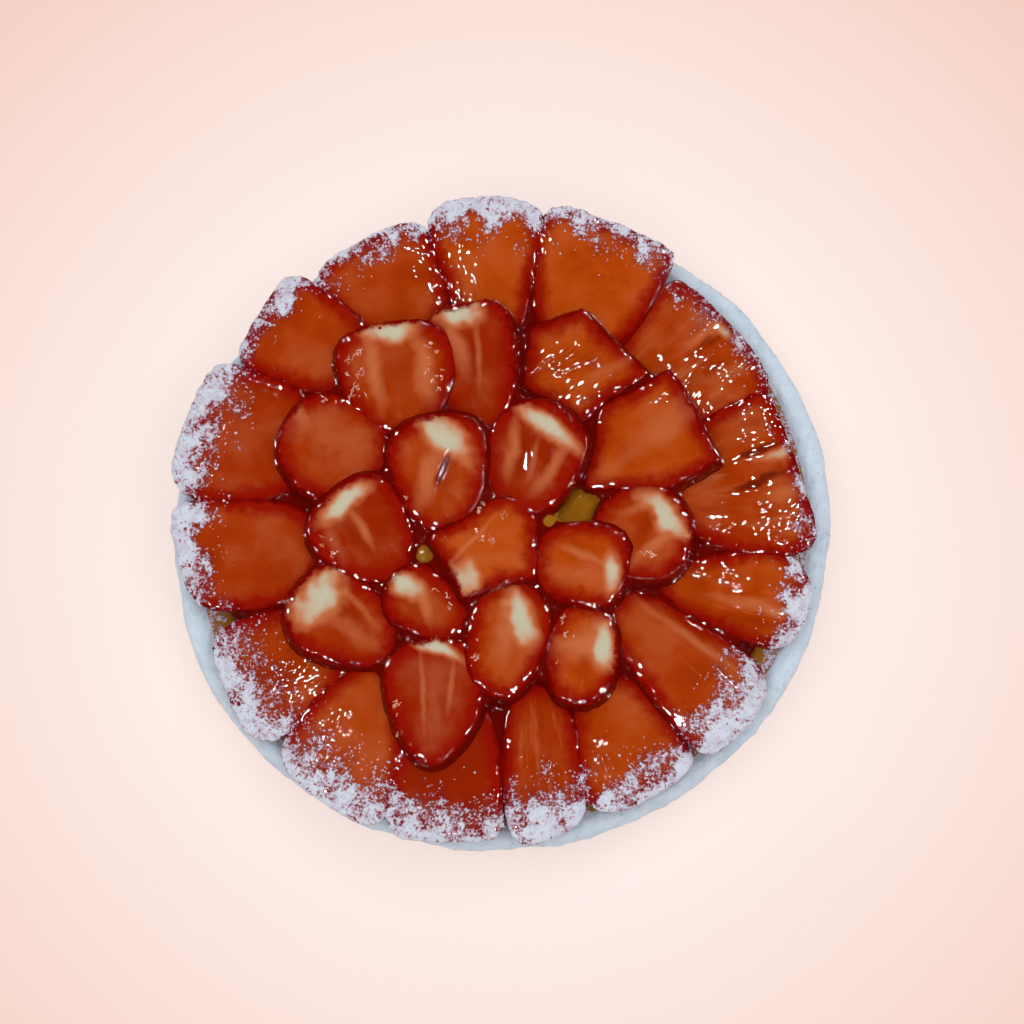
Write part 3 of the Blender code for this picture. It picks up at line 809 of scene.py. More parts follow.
def fruit_surface(berry, look):
    """One piece of fruit as a grid of points with its fields. A point is the outline's point at its
    angle times the spread of its row, at the row's height, less the fall beyond a wedge's ridge. The
    cut face sinks into hollows and ripples in the glaze, and the skin is dimpled round each seed. The
    piece is then turned into place and set down so that its lowest point is its solid's."""
    finish = FINISHES[berry.name]
    crown = CUTS[berry.cut].crown
    spread, height = side_profile(berry)
    angle = np.linspace(0, TAU, FRUIT_COLUMNS, endpoint=False)
    edge_x, edge_y = outline(berry, angle)
    x = spread[:, None] * edge_x
    y = spread[:, None] * edge_y
    beyond = math.copysign(1, berry.crease) * x / (berry.width / 2) - abs(berry.crease)
    fall = berry.fall * np.maximum(0, beyond) / max(1 - abs(berry.crease), 0.01)
    z = height[:, None] - fall

    inward = (1 - spread[:, None]) * np.hypot(edge_x, edge_y)
    edge = np.where(height[:, None] > 0, inward, height[:, None])
    on_face = smooth_step(height[:, None] / crown, 0.1, 0.6) * np.ones_like(x)
    fields = mark_fields(berry, finish.marks, x, y, on_face)

    flat = np.stack([x, y, 0 * x + berry.bearing], -1)
    z = z + on_face * 0.16 * unevenness(flat, 17, seed_number(berry))
    z = z - on_face * (1.1 * fields["hollow"] + 0.5 * fields["deep"] - 0.15 * fields["blush"])
    drawn = np.stack([x, 0.4 * y, 0 * x + berry.bearing], -1)
    ripples = unevenness(drawn, 2.5, 7) * fields["ripple"] + 0.15 * unevenness(flat, 4.5, 8)
    z = z + on_face * ripples * look.ripple / MM

    turn, place = placement(berry)
    grid = np.stack([x, y, z], -1) * MM @ turn.T + place
    seeds = seed_places(berry, grid, spread, height)
    normals = grid_normals(grid)
    seed_points = grid[seeds[:, 0], seeds[:, 1]]
    seed_normals = normals[seeds[:, 0], seeds[:, 1]]
    dimple = np.zeros_like(x)
    for point in seed_points:
        away = np.linalg.norm(grid - point, axis=-1) / MM
        dimple = np.maximum(dimple, 1 - smooth_step(away, 0.2, SEED_DIMPLE))
    knobbly = unevenness(grid / MM, 3.2, 41) * smooth_step(-edge, -3.0, -0.5)
    grid = grid + normals * ((0.10 * knobbly - DIMPLE_DEPTH * dimple) * MM)[..., None]

    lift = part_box(berry.name)[0].z - grid[..., 2].min()
    LIFTS[berry.name] = lift
    grid[..., 2] += lift
    seed_points = seed_points + [0, 0, lift] - seed_normals * (DIMPLE_DEPTH - 0.04) * MM

    radius = fruit_radius(grid)
    patchy = 2.2 * unevenness(grid / MM, 9, 21) + 0.9 * unevenness(grid / MM, 3, 22)
    dust = np.clip((radius + patchy - finish.specks) / (finish.solid - finish.specks), 0, 1)
    dust = dust * smooth_step(normals[..., 2], -0.1, 0.45)
    caked = smooth_step(dust, 0.5, 1) * (0.22 + 0.08 * unevenness(grid / MM, 1.8, 23))
    grid = grid + normals * (caked * MM)[..., None]

    near = smooth_step(-edge, -3.2, -1.2) * smooth_step(edge, -2.5, 0)
    wet = near * smooth_step(unevenness(grid / MM, 9, 61), -0.6, 0.9)
    fields["wet"] = 0.10 + 0.90 * wet + 0.15 * fields.pop("ripple")
    if berry.cut == "half":
        heart = (0.34 - 0.5) * berry.length
        fields["streak"] = np.maximum(fields["streak"], 0.2 * smooth_step(np.hypot(x, y - heart), 8, 15))
    fields["edge"] = edge * np.ones_like(x)
    fields["dust"] = dust
    fields["tone"] = np.full_like(x, finish.tone)
    fields["fibre"] = fibre_place(berry, x, y)
    return grid, fields, seed_points, seed_normals


def face_height(berry, x, y):
    """The height of the cut face at points x, y of the piece in mm, from its profile."""
    spread, height = side_profile(berry)
    edge_x, edge_y = outline(berry, np.linspace(0, TAU, FRUIT_COLUMNS, endpoint=False))
    around = np.arctan2(edge_y, edge_x)
    order = np.argsort(around)
    away = np.hypot(edge_x, edge_y)[order]
    share = np.hypot(x, y) / np.interp(np.arctan2(y, x), around[order], away, period=TAU)
    top = height >= 0
    return np.interp(share, spread[top], height[top])


# ---------------------------------------------------------------- materials


class Graph:
    """A material's nodes, made by short calls that each return the socket carrying their result."""

    def __init__(self, name):
        self.material = bpy.data.materials.new(name)
        self.material.use_nodes = True
        self.nodes = self.material.node_tree.nodes
        self.links = self.material.node_tree.links
        self.shader = self.nodes["Principled BSDF"]

    def put(self, socket, value):
        if isinstance(value, bpy.types.NodeSocket):
            self.links.new(value, socket)
        elif socket.type == "RGBA":
            socket.default_value = (*value, 1)
        else:
            socket.default_value = value

    def set(self, **values):
        """Sets the shader's own sockets; a name's underscores stand for spaces."""
        for name, value in values.items():
            self.put(self.shader.inputs[name.replace("_", " ").title().replace("Ior", "IOR")], value)

    def attribute(self, name, output="Fac"):
        node = self.nodes.new("ShaderNodeAttribute")
        node.attribute_name = name
        return node.outputs[output]

    def place(self):
        return self.nodes.new("ShaderNodeTexCoord").outputs["Object"]

    def noise(self, vector, scale, detail=2.0, roughness=0.5, distortion=0.0):
        node = self.nodes.new("ShaderNodeTexNoise")
        self.put(node.inputs["Vector"], vector)
        node.inputs["Scale"].default_value = scale
        node.inputs["Detail"].default_value = detail
        node.inputs["Roughness"].default_value = roughness
        node.inputs["Distortion"].default_value = distortion
        return node.outputs["Fac"]

    def math(self, operation, first, second=0.0, third=None):
        node = self.nodes.new("ShaderNodeMath")
        node.operation = operation
        self.put(node.inputs[0], first)
        self.put(node.inputs[1], second)
        if third is not None:
            self.put(node.inputs[2], third)
        return node.outputs[0]

    def span(self, value, low, high, start=0.0, end=1.0, smooth=True):
        """Carries value from the span low to high onto start to end, and holds it at the ends."""
        node = self.nodes.new("ShaderNodeMapRange")
        node.interpolation_type = "SMOOTHSTEP" if smooth else "LINEAR"
        names = ("Value", "From Min", "From Max", "To Min", "To Max")
        for name, given in zip(names, (value, low, high, start, end)):
            self.put(node.inputs[name], given)
        return node.outputs["Result"]

    def mix(self, share, first, second, blend="MIX"):
        node = self.nodes.new("ShaderNodeMix")
        node.data_type = "RGBA"
        node.blend_type = blend
        self.put(node.inputs["Factor"], share)
        self.put(node.inputs[6], first)
        self.put(node.inputs[7], second)
        return node.outputs[2]

    def bump(self, height, distance, strength=1.0):
        node = self.nodes.new("ShaderNodeBump")
        node.inputs["Strength"].default_value = strength
        node.inputs["Distance"].default_value = distance
        self.put(node.inputs["Height"], height)
        return node.outputs["Normal"]


def sugar_on(graph, dust, look):
    """(cover, colour) of the icing sugar: the dust value lifted over three grains of noise, so that it
    starts as specks and closes up. It is damp where it lies thin, and white or lilac where it is thick."""
    place = graph.place()
    fine = graph.noise(place, 1200, 2, 0.6)
    grain = graph.noise(place, 560, 2, 0.6)
    broad = graph.noise(place, 190, 2, 0.6)
    mixed = graph.math("MULTIPLY_ADD", grain, 0.35, graph.math("MULTIPLY", fine, 0.45))
    mixed = graph.math("MULTIPLY_ADD", broad, 0.20, mixed)
    over = graph.math("SUBTRACT", mixed, graph.span(dust, 0, 1, 0.71, 0.39, smooth=False))
    powder = graph.mix(graph.span(graph.noise(place, 330, 3, 0.6), 0.42, 0.66, 0, 0.7), look.sugar, look.lilac)
    powder = graph.mix(graph.span(over, -0.02, 0.11), look.damp, powder)
    return graph.span(over, -0.05, 0.05), powder


def fruit_material(look, crust):
    """Glazed strawberry: flesh clouded and streaked along its fibres, a white heart with a blush round
    it, red and then nearly black red towards the skin, and icing sugar that draws up juice. The split
    at the heart is darkened with painted shade."""
    graph = Graph("glazed_strawberry")
    place = graph.place()
    fibre = graph.noise(graph.attribute("fibre", "Vector"), 1.0, 3, 0.55, 0.4)
    streak = graph.attribute("streak")
    edge = graph.attribute("edge")
    wander = graph.span(graph.noise(place, 330, 3, 0.6), 0.25, 0.75, -1.3, 1.3, smooth=False)
    edge = graph.math("ADD", edge, wander)

    flesh = graph.mix(graph.attribute("tone"), look.orange, look.red)
    cloud = graph.noise(place, 75, 3, 0.55)
    flesh = graph.mix(graph.span(cloud, 0.42, 0.72, 0, 0.22), flesh, look.blush)
    flesh = graph.mix(graph.span(cloud, 0.50, 0.28, 0, 0.45), flesh, look.channel)
    lift = graph.math("MULTIPLY", streak, 0.6)
    flesh = graph.mix(graph.math("MULTIPLY", graph.span(fibre, 0.52, 0.72), lift), flesh, look.blush)
    sink = graph.math("MULTIPLY", streak, 0.65)
    flesh = graph.mix(graph.math("MULTIPLY", graph.span(fibre, 0.48, 0.30), sink), flesh, look.channel)
    flesh = graph.mix(graph.span(edge, 7.5, 2.2, 0, 0.97), flesh, look.rim)

    deep = graph.math("MULTIPLY", graph.attribute("deep"), 0.85)
    flesh = graph.mix(deep, flesh, look.channel)
    frayed = graph.span(fibre, 0.25, 0.75, -0.06, 0.06, smooth=False)
    blush = graph.math("ADD", graph.attribute("blush"), frayed)
    flesh = graph.mix(graph.span(blush, 0.05, 1.0, 0, 0.72, smooth=False), flesh, look.blush)
    pale = graph.math("ADD", graph.attribute("pale"), graph.math("MULTIPLY", frayed, 0.6))
    flesh = graph.mix(graph.span(pale, 0.02, 0.5, 0, 0.9, smooth=False), flesh, look.blush)
    flesh = graph.mix(graph.span(pale, 0.35, 1.0), flesh, look.heart)
    # painted shade: the hollow mark darkens the split at the heart
    flesh = graph.mix(graph.span(graph.attribute("hollow"), 0.2, 0.9, 0, 0.9), flesh, look.hollow)
    flesh = graph.mix(graph.span(edge, 2.3, 0.4), flesh, look.skin)

    dust = graph.attribute("dust")
    wet = graph.mix(graph.span(dust, 0.04, 0.8, 0, 0.6), flesh, crust.juice)
    cover, powder = sugar_on(graph, dust, crust)
    relief = graph.math("MULTIPLY", graph.noise(place, 300, 1, 0.4), graph.attribute("wet"))
    relief = graph.math("MULTIPLY_ADD", cover, 0.3, relief)
    broken = graph.span(graph.noise(place, 800, 1, 0.4), 0.47, 0.60, 0.04, 0.55)
    whole = graph.span(graph.attribute("edge"), 0.6, 2.4)
    graph.set(
        base_color=graph.mix(cover, wet, powder),
        roughness=graph.span(cover, 0, 1, look.gloss, 0.9, smooth=False),
        normal=graph.bump(relief, 0.6 * MM),
        specular_ior_level=graph.span(whole, 0, 1, broken, 0.5, smooth=False),
    )
    graph.shader.inputs["IOR"].default_value = 1.42
    return graph.material


def filling_material(look, crust):
    """Custard seen through glaze: deep red in the seams, partly the glaze's own red and partly painted
    shade, amber and then yellow where the gap is open, and dusted with sugar towards the lip."""
    graph = Graph("glazed_custard")
    place = graph.place()
    gap = graph.attribute("gap")
    patch = graph.noise(place, 190, 3, 0.6)
    gap = graph.math("ADD", gap, graph.span(patch, 0.3, 0.7, -0.2, 0.2, smooth=False))
    custard = graph.mix(graph.span(patch, 0.45, 0.75, 0, 0.6), look.custard, look.amber)
    # painted shade: the narrow seams take the dark seam colour
    colour = graph.mix(graph.span(gap, 0.2, 0.5), look.seam, look.amber)
    colour = graph.mix(graph.span(gap, 0.3, 0.7), colour, custard)
    cover, powder = sugar_on(graph, graph.attribute("dust"), crust)
    relief = graph.math("MULTIPLY_ADD", cover, 0.5, graph.math("MULTIPLY", graph.noise(place, 420, 2, 0.6), 0.3))
    graph.set(
        base_color=graph.mix(cover, colour, powder),
        roughness=graph.span(cover, 0, 1, 0.045, 0.9, smooth=False),
        normal=graph.bump(relief, 0.5 * MM),
        specular_ior_level=graph.span(graph.noise(place, 800, 1, 0.4), 0.50, 0.62, 0.03, 0.5),
    )
    return graph.material


def crust_material(look):
    """Baked pastry, browner where the noise is high, with pores, under icing sugar by its dust value.
    The sugar is caked in faint blotches and fine cracks."""
    graph = Graph("baked_pastry")
    place = graph.place()
    browned = graph.noise(place, 60, 4, 0.6)
    colour = graph.mix(graph.span(browned, 0.35, 0.7), look.baked, look.browned)
    crumb = graph.noise(place, 1100, 3, 0.7)
    colour = graph.mix(graph.span(crumb, 0.5, 0.75, 0, 0.4), colour, look.browned)
    caked = graph.noise(place, 240, 4, 0.65)
    powder = graph.mix(graph.span(caked, 0.35, 0.7, 0, 0.5), look.caked, look.dulled)
    powder = graph.mix(graph.span(browned, 0.5, 0.68, 0, 0.35), powder, look.dulled)
    dust = graph.attribute("dust")
    cover = graph.span(graph.math("SUBTRACT", graph.math("ADD", dust, crumb), 0.88), 0, 0.12)
    relief = graph.math("MULTIPLY_ADD", caked, 0.9, graph.math("MULTIPLY", crumb, 0.35))
    graph.set(
        base_color=graph.mix(cover, colour, powder), roughness=0.85, normal=graph.bump(relief, 0.5 * MM)
    )
    graph.shader.inputs["Specular IOR Level"].default_value = 0.05
    return graph.material


def grain_material(look):
    """Loose icing sugar: dry and white, lilac in places."""
    graph = Graph("icing_sugar_grain")
    shade = graph.noise(graph.place(), 420, 2, 0.5)
    graph.set(base_color=graph.mix(graph.span(shade, 0.4, 0.65), look.sugar, look.lilac), roughness=0.9)
    graph.shader.inputs["Specular IOR Level"].default_value = 0.05
    return graph.material


def seed_material(look):
    """Seeds: dull straw, redder in patches, under glaze."""
    graph = Graph("strawberry_seed")
    shade = graph.noise(graph.place(), 700, 2, 0.5)
    graph.set(base_color=graph.mix(graph.span(shade, 0.4, 0.6), look.seed, look.rim), roughness=0.15)
    return graph.material


def bead_material(look):
    """Beads of clear glaze, which take the colour of the skin under them."""
    graph = Graph("glaze_bead")
    shade = graph.noise(graph.place(), 300, 2, 0.5)
    graph.set(base_color=graph.mix(graph.span(shade, 0.35, 0.65), look.skin, look.rim), roughness=0.04)
    return graph.material


def thread_material(look):
    """Threads of set glaze, pinkish white as painted highlight for their glints, with blush mixed in by noise."""
    graph = Graph("glaze_thread")
    shade = graph.noise(graph.place(), 900, 2, 0.5)
    graph.set(base_color=graph.mix(graph.span(shade, 0.4, 0.6), look.thread, look.blush), roughness=0.08)
    return graph.material


def floor_material(look):
    """A pale ground with painted shade: darker and pinker away from the tart. It is lit a little from
    within so that shadows on it stay soft.
    """
    graph = Graph("pale_floor")
    far = graph.span(graph.attribute("away"), 0.09, 0.25, smooth=False)
    colour = graph.mix(far, look.floor, look.floor_far_shade)
    half = graph.mix(0.5, colour, (0, 0, 0))
    graph.set(base_color=half, roughness=0.9, emission_color=colour)
    graph.shader.inputs["Emission Strength"].default_value = FLOOR_GLOW
    graph.shader.inputs["Specular IOR Level"].default_value = 0
    return graph.material


# ---------------------------------------------------------------- the pieces


LIFTS = {}


def dress(obj, slot, *nodes):
    """Ties a finished piece to the tart's body and hides the solids that it stands for. Its finish, slot, is not
    used.
    """
    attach(obj, BODY)
    for node in nodes:
        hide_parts(node)


BEADS = 420
BEAD_RADIUS = 0.26 * MM
GRAINS = 3000
LIP_GRAINS = 900
GRAIN_RADIUS = 0.20 * MM
THREAD_STEPS = 30
THREAD_SIDES = 6

# What one operator makes and a later one needs.
Laid = namedtuple("Laid", "berry grid fields seed_points seed_normals")
LAID = []
LIP = []


def laid_fruit():
    if not LAID:
        raise RuntimeError("lay the fruit first")
    return LAID


def add_fruit(look, crust):
    LAID.clear()
    material = fruit_material(look, crust)
    for berry in FRUIT:
        laid = Laid(berry, *fruit_surface(berry, look))
        mesh = closed_skin(berry.name, laid.grid, laid.fields)
        dress(new_object(berry.name + "_fruit", mesh, material), "strawberry", berry.name)
        LAID.append(laid)


def add_seeds(look):
    """Every seed is a small ball drawn out to a drop that points up the skin, lying flat in its dimple."""
    points = np.concatenate([laid.seed_points for laid in laid_fruit()])
    normals = np.concatenate([laid.seed_normals for laid in laid_fruit()])
    keep = points[:, 2] > custard_height(oval_radius(points[:, 0], points[:, 1]))
    points, normals = points[keep], normals[keep]
    shape, faces = ball(6, 4)
    shape[:, 0] *= 0.65 * (1 - 0.4 * shape[:, 1])
    up = np.array([0.0, 0.0, 1.0])
    along = unit(up - normals * (normals @ up)[:, None])
    across = np.cross(along, normals)
    axes = np.stack([across * 0.55, along * 0.75, normals * 0.32], axis=1) * MM
    places = np.concatenate([axes, points[:, None]], axis=1)
    obj = new_object("strawberry_seeds", scattered("seeds", shape, faces, places), seed_material(look))
    dress(obj, "strawberry")


def picked(points, areas, weights, count, chance):
    """count points picked by weight and area, with their normals, each pushed a little along the surface."""
    share = weights * np.linalg.norm(areas, axis=-1)
    index = chance.choice(len(points), count, p=share / share.sum())
    normals = unit(areas[index])
    push = chance.normal(size=(count, 3)) * 0.25 * MM
    push -= normals * (push * normals).sum(-1, keepdims=True)
    return points[index] + push, normals


def add_beads(look):
    """Beads of glaze caught along the edges of the fruit: flattened balls, thicker where waves say so."""
    chance = np.random.default_rng(11)
    points = np.concatenate([laid.grid.reshape(-1, 3) for laid in laid_fruit()])
    areas = np.concatenate([grid_areas(laid.grid).reshape(-1, 3) for laid in LAID])
    edge = np.concatenate([laid.fields["edge"].reshape(-1) for laid in LAID])
    dust = np.concatenate([laid.fields["dust"].reshape(-1) for laid in LAID])
    weights = smooth_step(edge, -1.6, -0.4) * smooth_step(-edge, -2.4, -0.8) * (dust < 0.03)
    weights = weights * (unit(areas)[:, 2] > 0.25) * np.exp(1.3 * unevenness(points / MM, 9, 61))
    points, normals = picked(points, areas, weights, BEADS, chance)
    radius = BEAD_RADIUS * np.exp(0.4 * chance.normal(size=BEADS))
    sizes = radius[:, None] * np.stack([chance.uniform(0.8, 1.5, BEADS), np.ones(BEADS), 0.55 * np.ones(BEADS)], -1)
    mesh = scattered("beads", *ball(8, 5), lain_flat(points, normals, sizes, chance))
    dress(new_object("glaze_beads", mesh, bead_material(look)), "strawberry")


def add_grains(look):
    """Loose grains of icing sugar: small uneven balls on the dusted fruit, fewer further in, and on the
    crust's lip."""
    chance = np.random.default_rng(12)
    points, areas, weights = [], [], []
    for laid in laid_fruit():
        finish = FINISHES[laid.berry.name]
        radius = fruit_radius(laid.grid)
        area = grid_areas(laid.grid)
        loose = smooth_step(radius, finish.specks - 9, finish.specks + 4)
        dust = laid.fields["dust"]
        weight = (0.03 * loose + dust * (1.1 - dust)) * (unit(area)[..., 2] > 0.3)
        clumps = np.exp(0.9 * unevenness(laid.grid / MM, 2.5, 62))
        points.append(laid.grid.reshape(-1, 3))
        areas.append(area.reshape(-1, 3))
        weights.append((weight * clumps).reshape(-1))
    on_fruit = picked(np.concatenate(points), np.concatenate(areas), np.concatenate(weights), GRAINS, chance)
    if not LIP:
        raise RuntimeError("make the crust first")
    on_lip = picked(*LIP[0], LIP_GRAINS, chance)
    points, normals = (np.concatenate(pair) for pair in zip(on_fruit, on_lip))
    count = len(points)
    radius = GRAIN_RADIUS * np.exp(0.35 * chance.normal(size=count))
    sizes = radius[:, None] * chance.uniform(0.7, 1.3, (count, 3)) * [1.0, 1.0, 0.75]
    mesh = scattered("grains", *ball(5, 3), lain_flat(points, normals, sizes, chance))
    dress(new_object("icing_sugar_grains", mesh, grain_material(look)), "crust")


def thread_path(berry, patch, chance):
    """A wandering line on the cut face: its heading swings in two waves as it goes."""
    steps = np.linspace(0, 1, THREAD_STEPS)
    swing = chance.uniform(0.8, 2.4) * np.sin(TAU * chance.uniform(0.8, 2.2) * steps + chance.uniform(0, TAU))
    heading = chance.uniform(0, TAU) + swing + 0.8 * np.sin(TAU * 4 * steps + chance.uniform(0, TAU))
    stride = chance.uniform(2.5, 6.0) / THREAD_STEPS
    x = np.cumsum(np.cos(heading)) * stride
    y = np.cumsum(np.sin(heading)) * stride
    across = patch.across + patch.wide * chance.uniform(-1, 1)
    along = patch.along + patch.long * chance.uniform(-1, 1)
    x += across * berry.width / 2 - x.mean()
    y += (along - 0.5) * berry.length - y.mean()
    return np.stack([x, y, face_height(berry, x, y) + 0.1], -1)


def add_threads(look):
    """Threads of set glaze: a thin round section carried along each path, fading out at both ends."""
    chance = np.random.default_rng(13)
    around = np.linspace(0, TAU, THREAD_SIDES, endpoint=False)[:, None]
    points = []
    for laid in laid_fruit():
        turn, place = placement(laid.berry)
        for patch in THREADS.get(laid.berry.name, ()):
            for _ in range(patch.count):
                path = thread_path(laid.berry, patch, chance) * MM @ turn.T + place + [0, 0, LIFTS[laid.berry.name]]
                ahead = unit(np.gradient(path, axis=0))
                side = unit(np.cross(ahead, [0, 0, 1.0]))
                over = np.cross(side, ahead)
                thick = look.thread_radius * np.sin(np.linspace(0, math.pi, THREAD_STEPS)) ** 0.4
                ring = np.cos(around) * side[:, None] + np.sin(around) * over[:, None]
                points.append(skin_points(path[:, None] + ring * thick[:, None, None]))
    faces = skin_faces(THREAD_STEPS, THREAD_SIDES)
    shifts = np.arange(len(points))[:, None, None] * len(points[0])
    joined = [(part[None] + shifts).reshape(-1, part.shape[1]) for part in faces]
    mesh = mesh_of("threads", np.concatenate(points), joined)
    dress(new_object("glaze_threads", mesh, thread_material(look)), "strawberry")


def fruit_heights():
    """The highest fruit surface over each cell of a square map."""
    size = 2 * MAP_HALF + 1
    height = np.full((size, size), -1.0)
    points = np.concatenate([laid.grid.reshape(-1, 3) for laid in laid_fruit()])
    cells = np.clip(np.rint(points[:, :2] / CELL).astype(int) + MAP_HALF, 0, size - 1)
    np.maximum.at(height, (cells[:, 1], cells[:, 0]), points[:, 2])
    return spread_out(height, 1, np.maximum)


def spread_out(values, reach, choose):
    """Each cell takes the highest (or lowest) value within reach cells of it."""
    out = values.copy()
    for row in range(-reach, reach + 1):
        for column in range(-reach, reach + 1):
            if (row or column) and row * row + column * column <= reach * reach + 1:
                out = choose(out, np.roll(values, (row, column), axis=(0, 1)))
    return out


def read_map(values, x, y):
    """The map's value at each point, blended between the four nearest cells."""
    column = np.clip(x / CELL + MAP_HALF, 0, 2 * MAP_HALF - 1)
    row = np.clip(y / CELL + MAP_HALF, 0, 2 * MAP_HALF - 1)
    left, low = np.floor(column).astype(int), np.floor(row).astype(int)
    right, up = column - left, row - low
    lower = values[low, left] * (1 - right) + values[low, left + 1] * right
    upper = values[low + 1, left] * (1 - right) + values[low + 1, left + 1] * right
    return lower * (1 - up) + upper * up


def blurred(values, times):
    for _ in range(times):
        for axis in (0, 1):
            values = (values * 2 + np.roll(values, 1, axis) + np.roll(values, -1, axis)) / 4
    return values


def add_filling(look, crust):
    """Custard and glaze as one closed skin. Its top is the custard's dome, swollen between the fruit and
    again at the lip, or where that is higher the fruit's height map closed over gaps narrower than twice
    the reach and let down by the drop."""
    fruit = fruit_heights()
    steps = np.arange(-MAP_HALF, MAP_HALF + 1) * CELL
    away = oval_radius(*np.meshgrid(steps, steps)) / MM
    dome = custard_height(np.minimum(away * MM, CUSTARD_RADIUS))
    dome = dome + look.rise * smooth_step(-away, -86, -72) + 1.4 * MM * smooth_step(away, 83, 89)
    ground = np.maximum(fruit, dome)
    reach = int(look.reach / CELL)
    closed = spread_out(spread_out(ground, reach, np.maximum), reach, np.minimum)
    inside = smooth_step(-away, -86, -79)
    pool = blurred(np.maximum(dome, dome + (closed - look.drop - dome) * inside), 2)

    # gap is 0 in the narrow seams, which the material paints dark as shade, and 1 where the custard lies open
    clear = spread_out(fruit > pool, 3, np.maximum) == 0
    gap = blurred(spread_out(clear, 3, np.maximum).astype(float), 1)

    edge = CRUST_RADIUS - LIP_WIDTH + 1.4 * MM
    radius = np.concatenate([edge * np.linspace(0, 1, 140), [edge, edge - 5 * MM, 0]])[:, None]
    angle = np.linspace(0, TAU, 640, endpoint=False)[None]
    x, y = oval(radius * np.cos(angle), radius * np.sin(angle))
    floor = FLOOR_THICKNESS + 0.3 * MM
    z = read_map(pool, x, y)
    z[-3:] = np.array([CRUST_HIGH.z - LIP_RISE, floor, floor])[:, None]
    at_lip = smooth_step(radius / MM, 84, 88)
    fields = {
        "gap": read_map(gap, x, y) + at_lip,
        "dust": 0.7 * smooth_step(radius / MM, 84, 90) + 0 * x,
    }
    mesh = closed_skin("custard_and_glaze", np.stack([x, y, z], -1), fields)
    dress(new_object("custard_and_glaze", mesh, filling_material(look, crust)), "custard", "custard")


def add_crust(look):
    """The crust as a turned profile: inner floor, wall, a lip that is half an ellipse, a side that draws
    in to the foot and a flat base. The lip and side wander a little, and sugar lies on the lip."""
    outer, top = CRUST_RADIUS, CRUST_HIGH.z
    foot = outer - FOOT_DRAW
    base = top - LIP_RISE
    middle = outer - LIP_WIDTH / 2
    swing = np.linspace(math.pi, 0, 34)
    lip = np.stack([middle + LIP_WIDTH / 2 * np.cos(swing), base + LIP_RISE * np.sin(swing)], -1)
    inner = np.array([[0, FLOOR_THICKNESS], [foot - FOOT_WALL, FLOOR_THICKNESS]])
    side = np.linspace([outer, base], [foot, FOOT_ROUND], 30)[1:]
    bottom = np.array([[foot - FOOT_ROUND / 3, FOOT_ROUND / 3], [foot - FOOT_ROUND, 0], [0, 0]])
    profile = np.concatenate([inner, lip, side, bottom])
    angle = np.linspace(0, TAU, 900, endpoint=False)[None]
    radius, height = profile[:, :1], profile[:, 1:]
    x, y = oval(radius * np.cos(angle), radius * np.sin(angle))
    grid = np.stack([x, y, height + 0 * x], -1)
    normals = grid_normals(grid)
    free = smooth_step(height, 1.5 * MM, 6 * MM) * (radius > foot - FOOT_WALL / 2)
    wander = 0.30 * unevenness(grid / MM, 30, 31) + 0.14 * unevenness(grid / MM, 7, 32) - 0.3
    wander = wander + 0.07 * unevenness(grid / MM, 2.6, 33)
    grid = grid + normals * (wander * free * MM)[..., None]
    facing = smooth_step(normals[..., 2], 0.05, 0.45)
    side_dust = 0.35 * smooth_step(height, 8 * MM, 18 * MM) + 0.5 * smooth_step(height, 15 * MM, 20 * MM)
    dust = np.maximum(facing, side_dust) * (radius > foot - FOOT_WALL)
    mesh = closed_skin("crust", grid, {"dust": dust * np.ones_like(x)})
    dress(new_object("sugared_crust", mesh, crust_material(look)), "crust", "crust")
    on_lip = facing * (height > base) * np.ones_like(x)
    LIP[:] = [(grid.reshape(-1, 3), grid_areas(grid).reshape(-1, 3), on_lip.reshape(-1))]


def add_floor(look):
    """A wide disc just under the tart, as a grid of radius and angle."""
    radius = np.array([0, 0.1, 0.14, 0.18, 0.22, 0.26, 0.5, 1.5, 4.0])[:, None]
    angle = np.linspace(0, TAU, 96, endpoint=False)[None]
    top = np.stack([radius * np.cos(angle), radius * np.sin(angle), 0 * radius * angle - 0.05 * MM], -1)
    grid = np.concatenate([top, top[::-1] - [0, 0, 0.01]])
    mesh = closed_skin("floor", grid, {"away": np.hypot(grid[..., 0], grid[..., 1])})
    floor = new_object("floor", mesh, floor_material(look))
    floor.visible_glossy = False


def add_lamp(name, bearing, from_top, distance, size, power):
    """A round soft lamp, aimed at the tart's middle."""
    lamp = bpy.data.lights.new(name, "AREA")
    lamp.shape = "DISK"
    lamp.size = size
    lamp.energy = power
    obj = bpy.data.objects.new(name, lamp)
    bpy.context.scene.collection.objects.link(obj)
    bearing, from_top = math.radians(bearing), math.radians(from_top)
    level = math.sin(from_top)
    away = Vector((math.cos(bearing) * level, math.sin(bearing) * level, math.cos(from_top)))
    obj.location = away * distance
    obj.rotation_euler = away.to_track_quat("Z", "Y").to_euler()
    return obj


def add_lamps(look):
    """A wide lamp overhead and four at the sides give the soft light and leave no glare on the glaze.
    Small ones, which only the glaze mirrors, give its sparks."""
    soft = [add_lamp("sky_lamp", 0, 0, 1.4, 2.0, look.sky_power)]
    for bearing in (35, 125, 215, 305):
        soft.append(add_lamp(f"soft_lamp_{bearing}", bearing, 58, 1.1, 0.6, look.soft_power))
    for obj in soft:
        obj.visible_glossy = False
    for bearing, from_top in SPARKS:
        spark = add_lamp(f"spark_lamp_{bearing}", bearing, from_top, 1.1, SPARK_SIZE, look.spark_power)
        spark.visible_diffuse = False


